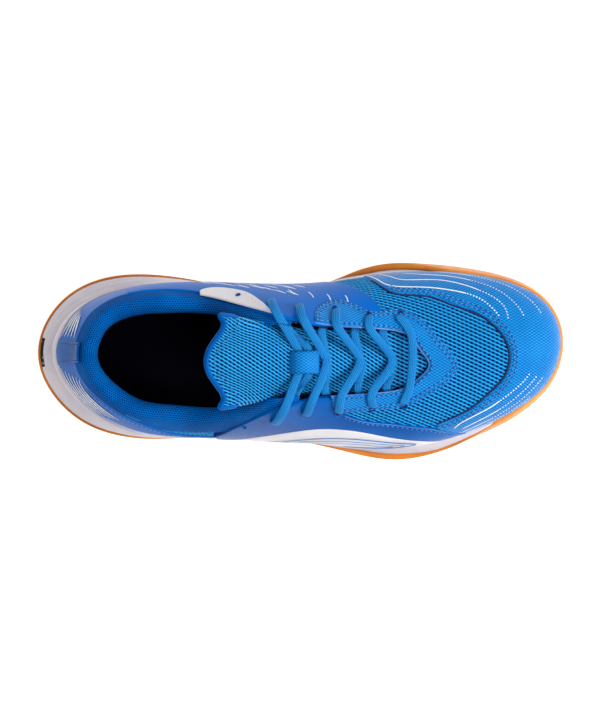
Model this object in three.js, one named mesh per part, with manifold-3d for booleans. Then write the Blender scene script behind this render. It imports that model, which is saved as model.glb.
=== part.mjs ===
import * as THREE from 'three';
import { mergeVertices } from 'three/addons/utils/BufferGeometryUtils.js';
import Module from 'manifold-3d';

// Court shoe for the right foot. Millimetres: +X to the toe, +Y to the inner (medial) side, +Z up.
// The upper is a stack of thin layers laid on one surface, the last. A place on it is a pair (u, t):
// u counts the stations below, from the back of the heel along the medial side to the toe and back
// along the lateral side; t runs from 0 at the feather line, where the upper meets the sole, to 1 at
// the topline. Below the feather line t is negative, down inside the cup of the midsole.

const wasm = await Module();
wasm.setup();

// ---- driving dimensions -------------------------------------------------------------------------

// feather x, y, z | topline x, y, z | bulge and rise of the side, reach and drop of the top | sole
// flare past the feather line, and the share of the sole's side wall that is gum rubber
const STATIONS = [
  [-137.5, 4.5, 42, -120.5, 4, 88, 3, 16, 5, 16, 13.5, 0.3],
  [-130, 22, 41, -116, 18.5, 87.5, 3, 16, 5, 16, 13.5, 0.3],
  [-115.5, 32.3, 40, -108, 27.6, 85, 3, 16, 5, 15, 13.5, 0.3],
  [-95, 38.8, 38, -92, 33.8, 79, 3, 15, 6, 13, 10.5, 0.3],
  [-68, 41.5, 35, -66, 34.8, 73, 4, 14, 6, 12, 5, 0.3],
  [-40, 40.5, 32, -40, 30, 83, 6, 18, 9, 17, 0, 0.3],
  [-10, 39.5, 30, -14, 23.5, 98, 8, 22, 11, 20, -1.5, 0.3],
  [16, 42, 29, 8, 18.5, 91, 7, 21, 14, 15, 1, 0.3],
  [36.5, 46.5, 28, 24, 17.5, 82, 4, 19, 17, 12, 5, 0.5],
  [60, 48.8, 28, 40, 17.2, 74, 3, 17, 20, 10, 7, 0.55],
  [84, 49, 28, 54, 16, 68.5, 2, 17, 24, 8, 5.5, 0.75],
  [110, 45.4, 28, 63, 12, 65.5, 2, 18, 30, 7, 4.5, 0.85],
  [129, 38.6, 29, 67, 8, 64.5, 2, 19, 36, 7, 4, 0.85],
  [141, 28, 30, 69.5, 3.5, 64, 2, 20, 41, 7, 3.5, 0.85],
  [146, 13, 31, 70.5, -1, 63.5, 2, 21, 44, 7, 3.5, 0.85],
  [143.5, -3, 30, 70.3, -4.5, 63.5, 2, 20, 42, 7, 4, 0.85],
  [134.5, -17, 29, 68.5, -8.5, 64, 2, 19, 38, 7, 4.5, 0.85],
  [116, -30, 28, 65, -12, 65, 2, 18, 32, 7, 6, 0.85],
  [96, -38.5, 28, 58.5, -15, 67, 2, 17, 26, 8, 6, 0.75],
  [77, -44.5, 28, 50, -16.5, 70, 2, 17, 22, 9, 7.5, 0.4],
  [56, -47.5, 28, 38, -17.5, 75, 3, 17, 18, 10, 9, 0.3],
  [34, -47, 28, 23, -18.5, 82.5, 4, 18, 16, 12, 6, 0.3],
  [8, -44, 29, 4, -20, 92, 6, 20, 13, 15, 2.5, 0.3],
  [-20, -42, 31, -17, -26.5, 97, 6, 21, 10, 19, 0.5, 0.3],
  [-50, -41.5, 33, -48, -33, 76, 4, 16, 7, 13, 0.5, 0.3],
  [-75, -41, 36, -72, -33, 70.5, 4, 13, 6, 12, 2.5, 0.3],
  [-95, -37.2, 38, -92, -29.8, 77, 3, 15, 6, 13, 6.5, 0.3],
  [-115.5, -27.5, 40, -108.5, -18.6, 85, 3, 16, 5, 15, 11.5, 0.3],
  [-130, -13, 41, -117, -8.5, 87.5, 3, 16, 5, 16, 13.5, 0.3],
];
const LAPS = STATIONS.length;
const STEP = 0.5;            // columns are half a station apart
const COLLAR_MEDIAL = 5.5;   // stations where the collar ends and the throat begins
const COLLAR_LATERAL = 23;

const TUCK_STEPS = 2;        // rows of a layer below the feather line
const TUCK_HEIGHT = 40;      // height of one unit of t below the feather line
const TUCK_INWARD = 4;       // how far that unit leans inward

// depths of the layers, measured outward from the surface
const FILM = [1.75, 2.2];
const MESH = [-1.1, 0];
const STIFFENER = [-2.3, -1.8];
const LINING = [-4.2, -3.6];
const PATCH = [3.3, 3.8];        // pieces laid on the film
const STRIP = [3.7, 4.5];
const UNDER = -6.5;              // where the lace runs below the lining
const OVER = 3.6;                // where it runs on the lace stay
const CUP_GAP = 0.5;

const GUM = 4;               // outsole thickness under the foot
const GUM_WALL = 2.5;        // outsole thickness up the side
const GAP = 0.4;             // clearance between pieces that touch
const HEEL_FOOTBED = 23;     // height of the foam under the heel and under the ball
const BALL_FOOTBED = 12.5;
const BOARD = 1.2;
const FOAM = 4;
const COVER = 0.8;

const LACE_WIDTH = 4.8;
const LACE_THICKNESS = 1.5;
const AGLET_LENGTH = 22;

// centre line of the tongue, front to tip: x, y, z, half width, drop at the edges
const TONGUE = [
  [80, -3, 53.5, 9, 2],
  [66, -3, 57, 13, 4.5],
  [54, -2, 62.8, 17, 8],
  [40, -1.5, 69.5, 19, 10.5],
  [24, -1, 78, 20, 11],
  [8, -1, 87, 20, 11.5],
  [-6, -1, 96, 18, 11.5],
  [-14, -0.5, 101.5, 18, 8],
  [-26, -0.5, 109.5, 22, 7],
  [-38, -0.5, 117, 25.5, 6.5],
  [-47, -0.5, 122, 25.5, 6],
  [-52, -0.5, 124.5, 23, 5],
];
const TONGUE_SPLIT = 7.3;    // row of the list where the free end starts
const TONGUE_FACE = [-1, 0];
const TONGUE_FOAM = [-4.6, -1.3];

// eyelets from the toe to the ankle, as places on the surface
const EYELETS = {
  medial: [[9.6, 0.85], [8.6, 0.87], [7.45, 0.8], [6.45, 0.8], [5.85, 0.8]],
  lateral: [[18.95, 0.85], [20.2, 0.85], [21.3, 0.81], [22.15, 0.82], [22.85, 0.79]],
};

const OTHER = { medial: 'lateral', lateral: 'medial' };
const BAR = [10.6, 17.95];       // stations where the front bar crosses the edges of the throat
const KEEPER_X = 1.5;            // where the last crossing runs under the keeper
const KEEPER_STOPS = [[2.5, 7], [0, 0], [-3, -7]];
const LACE_REST = 2.2;           // height of the lace's middle over the tongue
const LACE_LIFT = 1.9;           // extra height of the strand that runs over the other

// the free ends, from under the last eyelets down the side and forward on the insole
const TAILS = {
  medial: [[-17, 25, 76], [-17, 28, 68], [-15, 31, 58], [-8, 31, 46], [2, 30, 35], [14, 27, 27.5],
    [30, 23, 24], [48, 19.5, 22.5], [66, 16.5, 22.4], [80.6, 14.9, 22.7], [85.2, 12.2, 23],
    [87.9, 7.6, 23.1], [87.9, 2.4, 23.1], [85.2, -2.2, 23], [80.6, -4.9, 22.7], [68, -5, 22.4],
    [52, -2, 22.4], [38, 1, 23]],
  lateral: [[-15, -26, 76], [-15, -30, 68], [-13, -31.5, 58], [-6, -33, 46], [4, -32, 35],
    [16, -30.5, 27.5], [30, -30, 24], [46, -30.5, 22.7], [62.3, -30.2, 22.4], [66.4, -27.9, 22.4],
    [68.7, -23.8, 22.4], [68.7, -19.2, 22.4], [66.4, -15.1, 22.4], [62.3, -12.8, 22.4],
    [48, -12.5, 22.5], [36, -13, 23.2]],
};

// ---- the surface --------------------------------------------------------------------------------

// control points of the closed spline that runs close to every station
const CONTROLS = STATIONS.map((row, i) => {
  const before = STATIONS[(i + LAPS - 1) % LAPS];
  const after = STATIONS[(i + 1) % LAPS];
  return row.map((value, k) => (8 * value - before[k] - after[k]) / 6);
});

function station(u) {
  const wrapped = ((u % LAPS) + LAPS) % LAPS;
  const index = Math.floor(wrapped);
  const f = wrapped - index;
  const weights = [(1 - f) ** 3, 3 * f ** 3 - 6 * f ** 2 + 4, -3 * f ** 3 + 3 * f ** 2 + 3 * f + 1, f ** 3];
  const mix = (k) => weights.reduce((sum, w, j) => sum + w * CONTROLS[(index + j - 1 + LAPS) % LAPS][k], 0) / 6;
  const [fx, fy, fz, tx, ty, tz, bulge, rise, reach, drop, flare, gum] = STATIONS[0].map((_, k) => mix(k));
  const out = new THREE.Vector3(fx - tx, fy - ty, 0).normalize();
  return { feather: new THREE.Vector3(fx, fy, fz), top: new THREE.Vector3(tx, ty, tz),
    out, bulge, rise, reach, drop, flare, gum };
}

function skin(u, t) {
  const s = station(u);
  if (t < 0) {
    return s.feather.clone().addScaledVector(s.out, TUCK_INWARD * t).setZ(s.feather.z + TUCK_HEIGHT * t);
  }
  const low = s.feather.clone().addScaledVector(s.out, s.bulge);
  low.z += s.rise;
  const high = s.top.clone().addScaledVector(s.out, s.reach);
  high.z -= s.drop;
  return new THREE.Vector3()
    .addScaledVector(s.feather, (1 - t) ** 3)
    .addScaledVector(low, 3 * (1 - t) ** 2 * t)
    .addScaledVector(high, 3 * (1 - t) * t * t)
    .addScaledVector(s.top, t ** 3);
}

function outward(u, t) {
  const d = 0.01;
  const along = skin(u + d, t).sub(skin(u - d, t));
  const up = skin(u, t + d).sub(skin(u, t - d));
  return up.cross(along).normalize();
}

function place(u, t, offset) {
  return skin(u, t).addScaledVector(outward(u, t), offset);
}

function smooth(from, to, value) {
  const x = Math.min(1, Math.max(0, (value - from) / (to - from)));
  return x * x * (3 - 2 * x);
}

// 1 round the ankle, where the collar is, and 0 along the throat
function collar(u) {
  const wrapped = ((u % LAPS) + LAPS) % LAPS;
  return wrapped <= COLLAR_MEDIAL || wrapped >= COLLAR_LATERAL ? 1 : 0;
}

// the collar's padding is thickest at the heel and thins to both ends
function swell(u) {
  return smooth(COLLAR_LATERAL, COLLAR_LATERAL + 2, u) * (1 - smooth(LAPS + COLLAR_MEDIAL - 2, LAPS + COLLAR_MEDIAL, u));
}

function columns(from, to) {
  const list = [];
  for (let u = from; u <= to + 1e-6; u += STEP) list.push(u);
  return list;
}

const ROUND = columns(0, LAPS - STEP);

// ---- closed bodies ------------------------------------------------------------------------------

function geometryFrom(points, faces) {
  const geometry = new THREE.BufferGeometry();
  geometry.setAttribute('position', new THREE.Float32BufferAttribute(points.flatMap((p) => p.toArray()), 3));
  geometry.setIndex(faces.flat());
  return geometry;
}

function faceOut(points, faces) {
  let volume = 0;
  for (const [a, b, c] of faces) volume += points[a].dot(points[b].clone().cross(points[c]));
  return geometryFrom(points, volume < 0 ? faces.map(([a, b, c]) => [a, c, b]) : faces);
}

function capFaces(outline) {
  const turn = Math.sign(THREE.ShapeUtils.area(outline));
  return THREE.ShapeUtils.triangulateShape(outline, []).map(([a, b, c]) => {
    const side = THREE.ShapeUtils.area([outline[a], outline[b], outline[c]]);
    return Math.sign(side) === turn ? [a, b, c] : [a, c, b];
  });
}

// joins equal rings of points into one body; flat gives the outline that each end cap is cut from
function loft(rings, closed, flat, cap = capFaces) {
  const count = rings[0].length;
  const faces = [];
  const last = closed ? rings.length : rings.length - 1;
  for (let i = 0; i < last; i += 1) {
    const next = (i + 1) % rings.length;
    for (let j = 0; j < count; j += 1) {
      const k = (j + 1) % count;
      faces.push([i * count + j, i * count + k, next * count + k], [i * count + j, next * count + k, next * count + j]);
    }
  }
  if (!closed) {
    const end = (rings.length - 1) * count;
    for (const [a, b, c] of cap(flat(0))) faces.push([a, c, b]);
    for (const [a, b, c] of cap(flat(rings.length - 1))) faces.push([end + a, end + b, end + c]);
  }
  return faceOut(rings.flat(), faces);
}

// a body whose cross-section at each column is a list of [t, offset] pairs
function band(list, profile, closed = false) {
  const profiles = list.map(profile);
  const rings = profiles.map((pairs, i) => pairs.map(([t, offset]) => place(list[i], t, offset)));
  const flat = (i) => profiles[i].map(([t, offset]) => new THREE.Vector2(t * 50, offset));
  return loft(rings, closed, flat);
}

// a sheet of the upper between two lines, low and high, both functions of u
function layer(list, low, high, [inner, outer], closed = false, steps = 5) {
  return band(list, (u) => {
    const rise = (i) => {
      if (low(u) >= 0) return low(u) + ((high(u) - low(u)) * i) / steps;
      return i < TUCK_STEPS ? low(u) * (1 - i / TUCK_STEPS) : (high(u) * (i - TUCK_STEPS)) / (steps - TUCK_STEPS);
    };
    const outside = Array.from({ length: steps + 1 }, (_, i) => [rise(i), outer]);
    const inside = Array.from({ length: steps + 1 }, (_, i) => [rise(steps - i), inner]);
    return [...outside, ...inside];
  }, closed);
}

// closes a narrow ring, long in x, with short triangles from one long side to the other
function zipFaces(outline) {
  const count = outline.length;
  const xs = outline.map((p) => p.x);
  const start = xs.indexOf(Math.min(...xs));
  const end = xs.indexOf(Math.max(...xs));
  const turn = Math.sign(THREE.ShapeUtils.area(outline));
  const faces = [];
  let a = start;
  let b = start;
  while (a !== end || b !== end) {
    const nextA = (a + 1) % count;
    const nextB = (b + count - 1) % count;
    const moveA = b === end || (a !== end && xs[nextA] <= xs[nextB]);
    if (moveA && nextA !== b) faces.push([a, nextA, b]);
    if (!moveA && nextB !== a) faces.push([a, nextB, b]);
    if (moveA) a = nextA; else b = nextB;
  }
  return faces.map(([i, j, k]) => {
    const side = THREE.ShapeUtils.area([outline[i], outline[j], outline[k]]);
    return Math.sign(side) === turn ? [i, j, k] : [i, k, j];
  });
}

// a plate or a cup: rings stacked from one cap to the other, capped on the plan view
function stack(rings) {
  const plan = (i) => rings[i].map((p) => new THREE.Vector2(p.x, p.y));
  return loft(rings, false, plan, zipFaces);
}

function toManifold(geometry) {
  const merged = mergeVertices(geometry, 1e-4);
  return new wasm.Manifold(new wasm.Mesh({
    numProp: 3,
    vertProperties: new Float32Array(merged.attributes.position.array),
    triVerts: new Uint32Array(merged.index.array),
  }));
}

function subtract(geometry, cutters) {
  const cut = cutters.reduce((body, cutter) => body.subtract(toManifold(cutter)), toManifold(geometry));
  const mesh = cut.getMesh();
  const result = new THREE.BufferGeometry();
  result.setAttribute('position', new THREE.BufferAttribute(new Float32Array(mesh.vertProperties), 3));
  result.setIndex(new THREE.BufferAttribute(new Uint32Array(mesh.triVerts), 1));
  return result;
}

// ---- the sole -----------------------------------------------------------------------------------

function ground(x) {
  const toe = Math.max(0, (x - 72) / 78);
  const heel = Math.max(0, (-118 - x) / 32);
  return 8 * toe * toe + 3 * heel * heel;
}

function footbed(x) {
  return HEEL_FOOTBED + (BALL_FOOTBED - HEEL_FOOTBED) * smooth(-75, 55, x) + 0.9 * ground(Math.max(0, x));
}

function planNormal(u) {
  const along = station(u + 0.02).feather.sub(station(u - 0.02).feather);
  return new THREE.Vector3(-along.y, along.x, 0).normalize();
}

// the outer side of the sole, from the ground edge (w = 0) to the feather line (w = 1)
function wall(u, w, inset) {
  const s = station(u);
  const normal = planNormal(u);
  const edge = ground(s.feather.x + normal.x * s.flare);
  const mix = (a, b, c, d) => a * (1 - w) ** 3 + 3 * b * (1 - w) ** 2 * w + 3 * c * (1 - w) * w * w + d * w ** 3;
  const distance = mix(s.flare - 3, s.flare + 2, s.flare * 0.5 + 2.5, 2.2) - inset;
  const height = mix(edge, edge + 7, s.feather.z - 9, s.feather.z - 0.5);
  return s.feather.clone().addScaledVector(normal, distance).setZ(height);
}

// a point drawn in from the rim towards the middle line of the foot, on the height that level gives
function drawnIn(point, share, level) {
  const x = THREE.MathUtils.clamp(point.x, -112, 112);
  const y = Math.max(0, (x - 40) * 0.09);
  const moved = new THREE.Vector3(x + (point.x - x) * share, y + (point.y - y) * share, 0);
  return moved.setZ(level(moved.x));
}

function tuckDepth(u, above) {
  const { feather } = station(u);
  return -(feather.z - footbed(feather.x) - above) / TUCK_HEIGHT;
}

const ring = (pointAt) => ROUND.map(pointAt);
const INNER_SHARES = [0.15];

function outsole() {
  const top = (x) => ground(x) + GUM;
  const inner = (u, share) => wall(u, station(u).gum * share, GUM_WALL);
  const outer = (u, share) => wall(u, station(u).gum * share, 0);
  return stack([
    ...INNER_SHARES.map((share) => ring((u) => drawnIn(wall(u, 0, GUM_WALL), share, top))),
    ring((u) => drawnIn(wall(u, 0, GUM_WALL), 1, top)),
    ring((u) => inner(u, 0.75)),
    ring((u) => inner(u, 1)),
    ring((u) => outer(u, 1)),
    ring((u) => outer(u, 0.6)),
    ring((u) => outer(u, 0.25)),
    ring((u) => drawnIn(wall(u, 0, 0), 1, ground)),
    ...INNER_SHARES.toReversed().map((share) => ring((u) => drawnIn(wall(u, 0, 0), share, ground))),
  ]);
}

function midsole() {
  const bottom = (x) => ground(x) + GUM + GAP;
  const inset = GUM_WALL + GAP;
  const ledge = (u) => station(u).gum + 0.035;
  const side = (u, share) => wall(u, ledge(u) + (1 - ledge(u)) * share, 0);
  const bed = (u) => place(u, tuckDepth(u, 0), CUP_GAP);
  return stack([
    ...INNER_SHARES.map((share) => ring((u) => drawnIn(wall(u, 0, inset), share, bottom))),
    ring((u) => drawnIn(wall(u, 0, inset), 1, bottom)),
    ring((u) => wall(u, station(u).gum * 0.75, inset)),
    ring((u) => wall(u, ledge(u), inset)),
    ring((u) => side(u, 0)),
    ring((u) => side(u, 0.35)),
    ring((u) => side(u, 0.7)),
    ring((u) => side(u, 1)),
    ring((u) => place(u, 0, CUP_GAP)),
    ring((u) => place(u, tuckDepth(u, 0) / 2, CUP_GAP)),
    ring((u) => drawnIn(bed(u), 1, footbed)),
    ...INNER_SHARES.toReversed().map((share) => ring((u) => drawnIn(bed(u), share, footbed))),
  ]);
}

// a flat piece on the footbed, its rim set in from the surface
function bedPlate(low, high, rim) {
  const edge = (u) => place(u, tuckDepth(u, low), rim);
  const level = (height) => (x) => footbed(x) + height;
  return stack([
    ...INNER_SHARES.map((share) => ring((u) => drawnIn(edge(u), share, level(low)))),
    ring((u) => drawnIn(edge(u), 1, level(low))),
    ring((u) => drawnIn(edge(u), 1, level(high))),
    ...INNER_SHARES.toReversed().map((share) => ring((u) => drawnIn(edge(u), share, level(high)))),
  ]);
}

function shankPlate(grow) {
  const shape = new THREE.Shape();
  shape.absellipse(-28, 0, 48 + grow, 17 + grow, 0, Math.PI * 2);
  const plate = new THREE.ExtrudeGeometry(shape, { depth: 1.6 + 2 * grow, bevelEnabled: false, curveSegments: 16 });
  return plate.deleteAttribute('normal').deleteAttribute('uv').translate(0, 0, GUM + 2 * GAP - grow);
}

function heelInsert(grow) {
  const list = [-0.3, -0.15, 0, 0.15, 0.3].map((u) => u * (1 + grow * 0.08));
  const section = (u) => [
    wall(u, 0.4 - grow * 0.02, 2 + grow), wall(u, 0.4 - grow * 0.02, -0.2 - grow),
    wall(u, 0.62 + grow * 0.02, -0.2 - grow), wall(u, 0.62 + grow * 0.02, 2 + grow),
  ];
  const flat = () => [[0, 0], [1, 0], [1, 1], [0, 1]].map(([x, y]) => new THREE.Vector2(x, y));
  return loft(list.map(section), false, flat);
}

// ---- the upper ----------------------------------------------------------------------------------

const meshTop = (u) => 1 - 0.2 * collar(u);
const liningTop = (u) => 0.98 - 0.6 * collar(u);

function meshUpper() {
  return layer(ROUND, (u) => tuckDepth(u, 2.2), meshTop, MESH, true, 9);
}

function lining() {
  return layer(ROUND, (u) => tuckDepth(u, 2.2), liningTop, LINING, true, 8);
}

// the roll of foam round the ankle, thinner at both ends
function collarPad() {
  return band(columns(COLLAR_LATERAL, LAPS + COLLAR_MEDIAL), (u) => {
    const thick = 5 + 4.5 * swell(u);
    return [[0.5, -1.6], [0.78, -1.6], [0.9, -2], [0.98, -3.2], [0.98, -thick + 1], [0.88, -thick - 0.5],
      [0.7, -thick], [0.5, -1.6 - thick * 0.4]];
  });
}

// the knitted cover that wraps the roll
function collarCover() {
  return band(columns(COLLAR_LATERAL, LAPS + COLLAR_MEDIAL), (u) => {
    const thick = 5 + 4.5 * swell(u);
    const outside = [[0.84, 0.1], [0.95, -0.6], [1.03, -2.6], [1.03, -thick], [0.9, -thick - 1.9], [0.7, -thick - 1.5],
      [0.46, -2.6 - thick * 0.4]];
    const inside = [[0.46, -1.9 - thick * 0.4], [0.7, -thick - 0.5], [0.88, -thick - 1], [1.0, -thick + 0.6],
      [1.0, -2.9], [0.92, -1.5], [0.84, -0.8]];
    return [...outside, ...inside];
  });
}

function heelCounter() {
  return layer(columns(26, 32), (u) => tuckDepth(u, 5), () => 0.44, STIFFENER, false, 6);
}

function toePuff() {
  return layer(columns(12.5, 16.5), () => 0.02, () => 0.3, STIFFENER, false, 7);
}

// inner edge of the toe cap: high at the toe, falling to the feather line on both sides
function toeCapEdge(u) {
  return 0.05 + 0.57 * smooth(7.9, 9.6, u) - 0.15 * smooth(13.5, 17.5, u) - 0.38 * smooth(17.6, 19.6, u);
}

function toeCap() {
  return layer(columns(8, 19.5), () => 0.04, (u) => Math.max(0.1, toeCapEdge(u)), FILM, false, 6);
}

// outer edge of the lace stay
function eyestayEdge(u) {
  return 0.7 + 0.18 * smooth(9.5, 12.5, u) - 0.28 * smooth(15.5, 20, u) + 0.1 * smooth(20.4, 22, u);
}

function slot(u, t, direction) {
  const normal = outward(u, t);
  const side = direction.clone().cross(normal).normalize();
  const travel = normal.clone().cross(side).normalize();
  const box = new THREE.BoxGeometry(LACE_WIDTH + 2.2, LACE_THICKNESS + 4.2, 16);
  box.deleteAttribute('normal').deleteAttribute('uv');
  return mergeVertices(box).applyMatrix4(new THREE.Matrix4().makeBasis(side, travel, normal).setPosition(skin(u, t)));
}

const SLOTS = ['medial', 'lateral'].flatMap((name) => EYELETS[name].map(([u, t], row) => {
  const before = skin(...EYELETS[OTHER[name]][Math.max(0, row - 1)]);
  return slot(u, t, skin(u, t).sub(before).setZ(0));
}));

function eyestay() {
  const whole = layer(columns(COLLAR_MEDIAL, COLLAR_LATERAL), eyestayEdge, () => 0.99, FILM, false, 4);
  return subtract(whole, SLOTS);
}

function eyeletBacker(list) {
  return subtract(layer(list, () => 0.66, () => 0.96, STIFFENER, false, 4), SLOTS);
}

function medialQuarter() {
  const high = (u) => 0.8 - 0.13 * smooth(4, 5.5, u) - 0.5 * smooth(6.6, 7.5, u);
  return layer(columns(3, 7.5), () => 0.04, high, FILM);
}

function medialPatch() {
  return layer(columns(4.5, 5.5), () => 0.72, (u) => 0.74 + 0.14 * Math.sin(((u - 4.2) / 1.6) * Math.PI), PATCH);
}

function lateralQuarter() {
  const high = (u) => eyestayEdge(u) - 0.03;
  return layer(columns(20, 23.5), () => 0.04, high, FILM);
}

function lateralPatch() {
  return layer(columns(19.5, 22.5), () => 0.05, (u) => 0.5 - 0.08 * (u - 21) ** 2, PATCH);
}

function heelFilm() {
  return layer(columns(26, 31.5), () => 0.04, () => 0.8, FILM, false, 9);
}

function heelStrip() {
  return layer([-0.38, 0, 0.38].map((u) => LAPS + u), () => 0.08, () => 0.78, STRIP, false, 7);
}

// ---- the tongue ---------------------------------------------------------------------------------

const TONGUE_CURVES = TONGUE[0].map((_, k) => new THREE.CatmullRomCurve3(
  TONGUE.map((row, i) => new THREE.Vector3(i, row[k], 0)), false, 'catmullrom', 0.5));

function tongueRow(row) {
  const value = (k) => TONGUE_CURVES[k].getPoint(row / (TONGUE.length - 1)).y;
  return { x: value(0), y: value(1), z: value(2), half: value(3), drop: value(4) };
}

// v runs from -1 at the lateral edge to 1 at the medial edge
function tonguePoint(row, v, depth) {
  const here = tongueRow(row);
  const before = tongueRow(Math.max(0, row - 0.2));
  const after = tongueRow(Math.min(TONGUE.length - 1, row + 0.2));
  const tilt = new THREE.Vector3(after.z - before.z, 0, before.x - after.x).normalize();
  const point = new THREE.Vector3(here.x, here.y + v * here.half, here.z - here.drop * v * v);
  return point.addScaledVector(tilt, depth);
}

function tonguePiece(from, to, [low, high], edge) {
  const rows = Array.from({ length: Math.round((to - from) * 1.5) + 1 }, (_, i) => i);
  const spread = [-1, -0.6, -0.2, 0.2, 0.6, 1].map((v) => v * edge);
  const rowAt = (i) => from + ((to - from) * i) / (rows.length - 1);
  const section = (i) => [
    ...spread.map((v) => tonguePoint(rowAt(i), v, high)),
    ...spread.toReversed().map((v) => tonguePoint(rowAt(i), v, low)),
  ];
  const flat = () => [
    ...spread.map((v) => new THREE.Vector2(v * 20, high)),
    ...spread.toReversed().map((v) => new THREE.Vector2(v * 20, low)),
  ];
  return loft(rows.map(section), false, flat);
}

// the bound edge of the free end: down one side, round the tip and back up the other
function tongueBinding() {
  const depth = -2.5;
  const radius = 1.5;
  const rows = [0.4, 1.2, 2, 2.8].map((row) => TONGUE_SPLIT + row);
  const route = [
    ...rows.map((row) => tonguePoint(row, -1, depth)),
    ...[-0.85, -0.4, 0, 0.4, 0.85].map((v) => tonguePoint(TONGUE.length - 1, v, depth)),
    ...rows.toReversed().map((row) => tonguePoint(row, 1, depth)),
  ];
  const shape = new THREE.Shape();
  shape.absarc(0, 0, radius, 0, Math.PI * 2);
  const extrudePath = new THREE.CatmullRomCurve3(route);
  const tube = new THREE.ExtrudeGeometry(shape, { extrudePath, steps: 30, curveSegments: 4, bevelEnabled: false });
  return mergeVertices(tube.deleteAttribute('normal').deleteAttribute('uv'));
}

// the keeper: a strap over the tongue, fixed in front of the crossing and behind it
function laceKeeper() {
  const reach = [[5.02, 0.4], [5.1, 3.4], [5.3, 6], [5.85, 6], [6.03, 3.4], [6.12, 0.4]];
  const thickness = 0.9;
  const section = (v) => [
    ...reach.map(([row, lift]) => tonguePoint(row, v, lift + (lift > 1 ? thickness : 0))),
    ...reach.toReversed().map(([row, lift], i) => tonguePoint(row + (i < 3 ? -0.08 : 0.08), v, lift)),
  ];
  const flat = () => section(0).map((p) => new THREE.Vector2(p.x, p.z));
  return loft([-0.28, 0, 0.28].map(section), false, flat);
}

// ---- the lace -----------------------------------------------------------------------------------

// a flat ribbon through stops, each with a place and the direction of the ribbon's width there
function ribbon(stops, perStop) {
  const curve = new THREE.CatmullRomCurve3(stops.map((stop) => stop.at), false, 'centripetal');
  const outline = Array.from({ length: 6 }, (_, i) => {
    const angle = (i / 6) * Math.PI * 2;
    return [Math.cos(angle) * LACE_WIDTH / 2, Math.sin(angle) * LACE_THICKNESS / 1.8];
  });
  const steps = perStop * (stops.length - 1);
  const rings = Array.from({ length: steps + 1 }, (_, i) => {
    const index = Math.min(stops.length - 2, Math.floor(i / perStop));
    const tangent = curve.getTangent(i / steps);
    const side = stops[index].side.clone().lerp(stops[index + 1].side, i / perStop - index);
    side.addScaledVector(tangent, -side.dot(tangent)).normalize();
    const up = tangent.clone().cross(side);
    const centre = curve.getPoint(i / steps);
    return outline.map(([a, b]) => centre.clone().addScaledVector(side, a).addScaledVector(up, b));
  });
  return loft(rings, false, () => outline.map(([a, b]) => new THREE.Vector2(a, b)));
}

function widthAcross(from, to) {
  return new THREE.Vector3(from.y - to.y, to.x - from.x, 0).normalize();
}

// down through an eyelet from above, arriving from the point before it
function throughEyelet([u, t], side) {
  return [OVER, 0, UNDER].map((offset) => ({ at: place(u, t + 0.03 * Math.sign(offset), offset), side }));
}

// from under one eyelet, out past the edge of the throat, over the tongue and down into the next
function crossing(from, to, lean, middles) {
  const start = place(...from, UNDER);
  const finish = place(...to, OVER);
  const side = widthAcross(start, finish);
  const stop = (at) => ({ at, side });
  return [
    stop(place(from[0] + lean, 1, UNDER)),
    ...middles.map(stop),
    stop(place(to[0] + lean, 1, OVER + 0.2)),
    ...throughEyelet(to, side),
  ];
}

// height of the tongue's upper face at a place over the throat
function tongueTop(x, y) {
  let row = 0;
  while (row < TONGUE.length - 1 && tongueRow(row).x > x) row += 0.05;
  const here = tongueRow(row);
  return here.z - here.drop * ((y - here.y) / here.half) ** 2;
}

function strand(side, lift) {
  const stops = [];
  for (let row = 0; row < 4; row += 1) {
    const near = row % 2 === 0 ? side : OTHER[side];
    const far = OTHER[near];
    const from = EYELETS[near][row];
    const to = EYELETS[far][row + 1];
    const a = skin(...from);
    const b = skin(...to);
    const raised = far === 'lateral' ? lift : 0;
    const inward = Math.sign(a.y);
    const over = ([x, y]) => new THREE.Vector3(x, y, tongueTop(x, y) + LACE_REST + raised);
    const plain = [[a.x * 0.72 + b.x * 0.28, -1]];
    const kept = KEEPER_STOPS.map(([x, y]) => [KEEPER_X + x, y * inward - 1]);
    stops.push(...crossing(from, to, -0.15 * inward, (row === 3 ? kept : plain).map(over)));
  }
  return stops;
}

function laceStops() {
  const [medial, lateral] = [EYELETS.medial[0], EYELETS.lateral[0]];
  const across = widthAcross(skin(...medial), skin(...lateral));
  const bar = [
    ...throughEyelet(medial, across).reverse(),
    ...BAR.map((u) => ({ at: place(u, 1, OVER + 0.3), side: across })),
    ...throughEyelet(lateral, across),
  ];
  return [...strand('medial', LACE_LIFT).reverse(), ...bar, ...strand('lateral', LACE_LIFT)];
}

function lace() {
  return ribbon(laceStops(), 2);
}

function laceTail(route) {
  const stops = route.map(([x, y, z], i) => {
    const [fromX, fromY] = route[Math.max(0, i - 1)];
    const [toX, toY] = route[Math.min(route.length - 1, i + 1)];
    return { at: new THREE.Vector3(x, y, z), side: new THREE.Vector3(fromY - toY, toX - fromX, 0).normalize() };
  });
  return ribbon(stops, 2);
}

function aglet(route) {
  const [end, before] = [route.at(-1), route.at(-2)].map((p) => new THREE.Vector3(...p));
  const along = end.clone().sub(before).normalize();
  const barrel = new THREE.CylinderGeometry(1.5, 1.6, AGLET_LENGTH, 12);
  barrel.deleteAttribute('normal').deleteAttribute('uv');
  const turn = new THREE.Quaternion().setFromUnitVectors(new THREE.Vector3(0, 1, 0), along);
  const middle = end.addScaledVector(along, AGLET_LENGTH / 2 + GAP);
  return mergeVertices(barrel).applyQuaternion(turn).translate(...middle.toArray());
}

// ---- assembly -----------------------------------------------------------------------------------

const group = new THREE.Group();

function material(color, roughness) {
  return new THREE.MeshStandardMaterial({ color, roughness, metalness: 0 });
}

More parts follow.
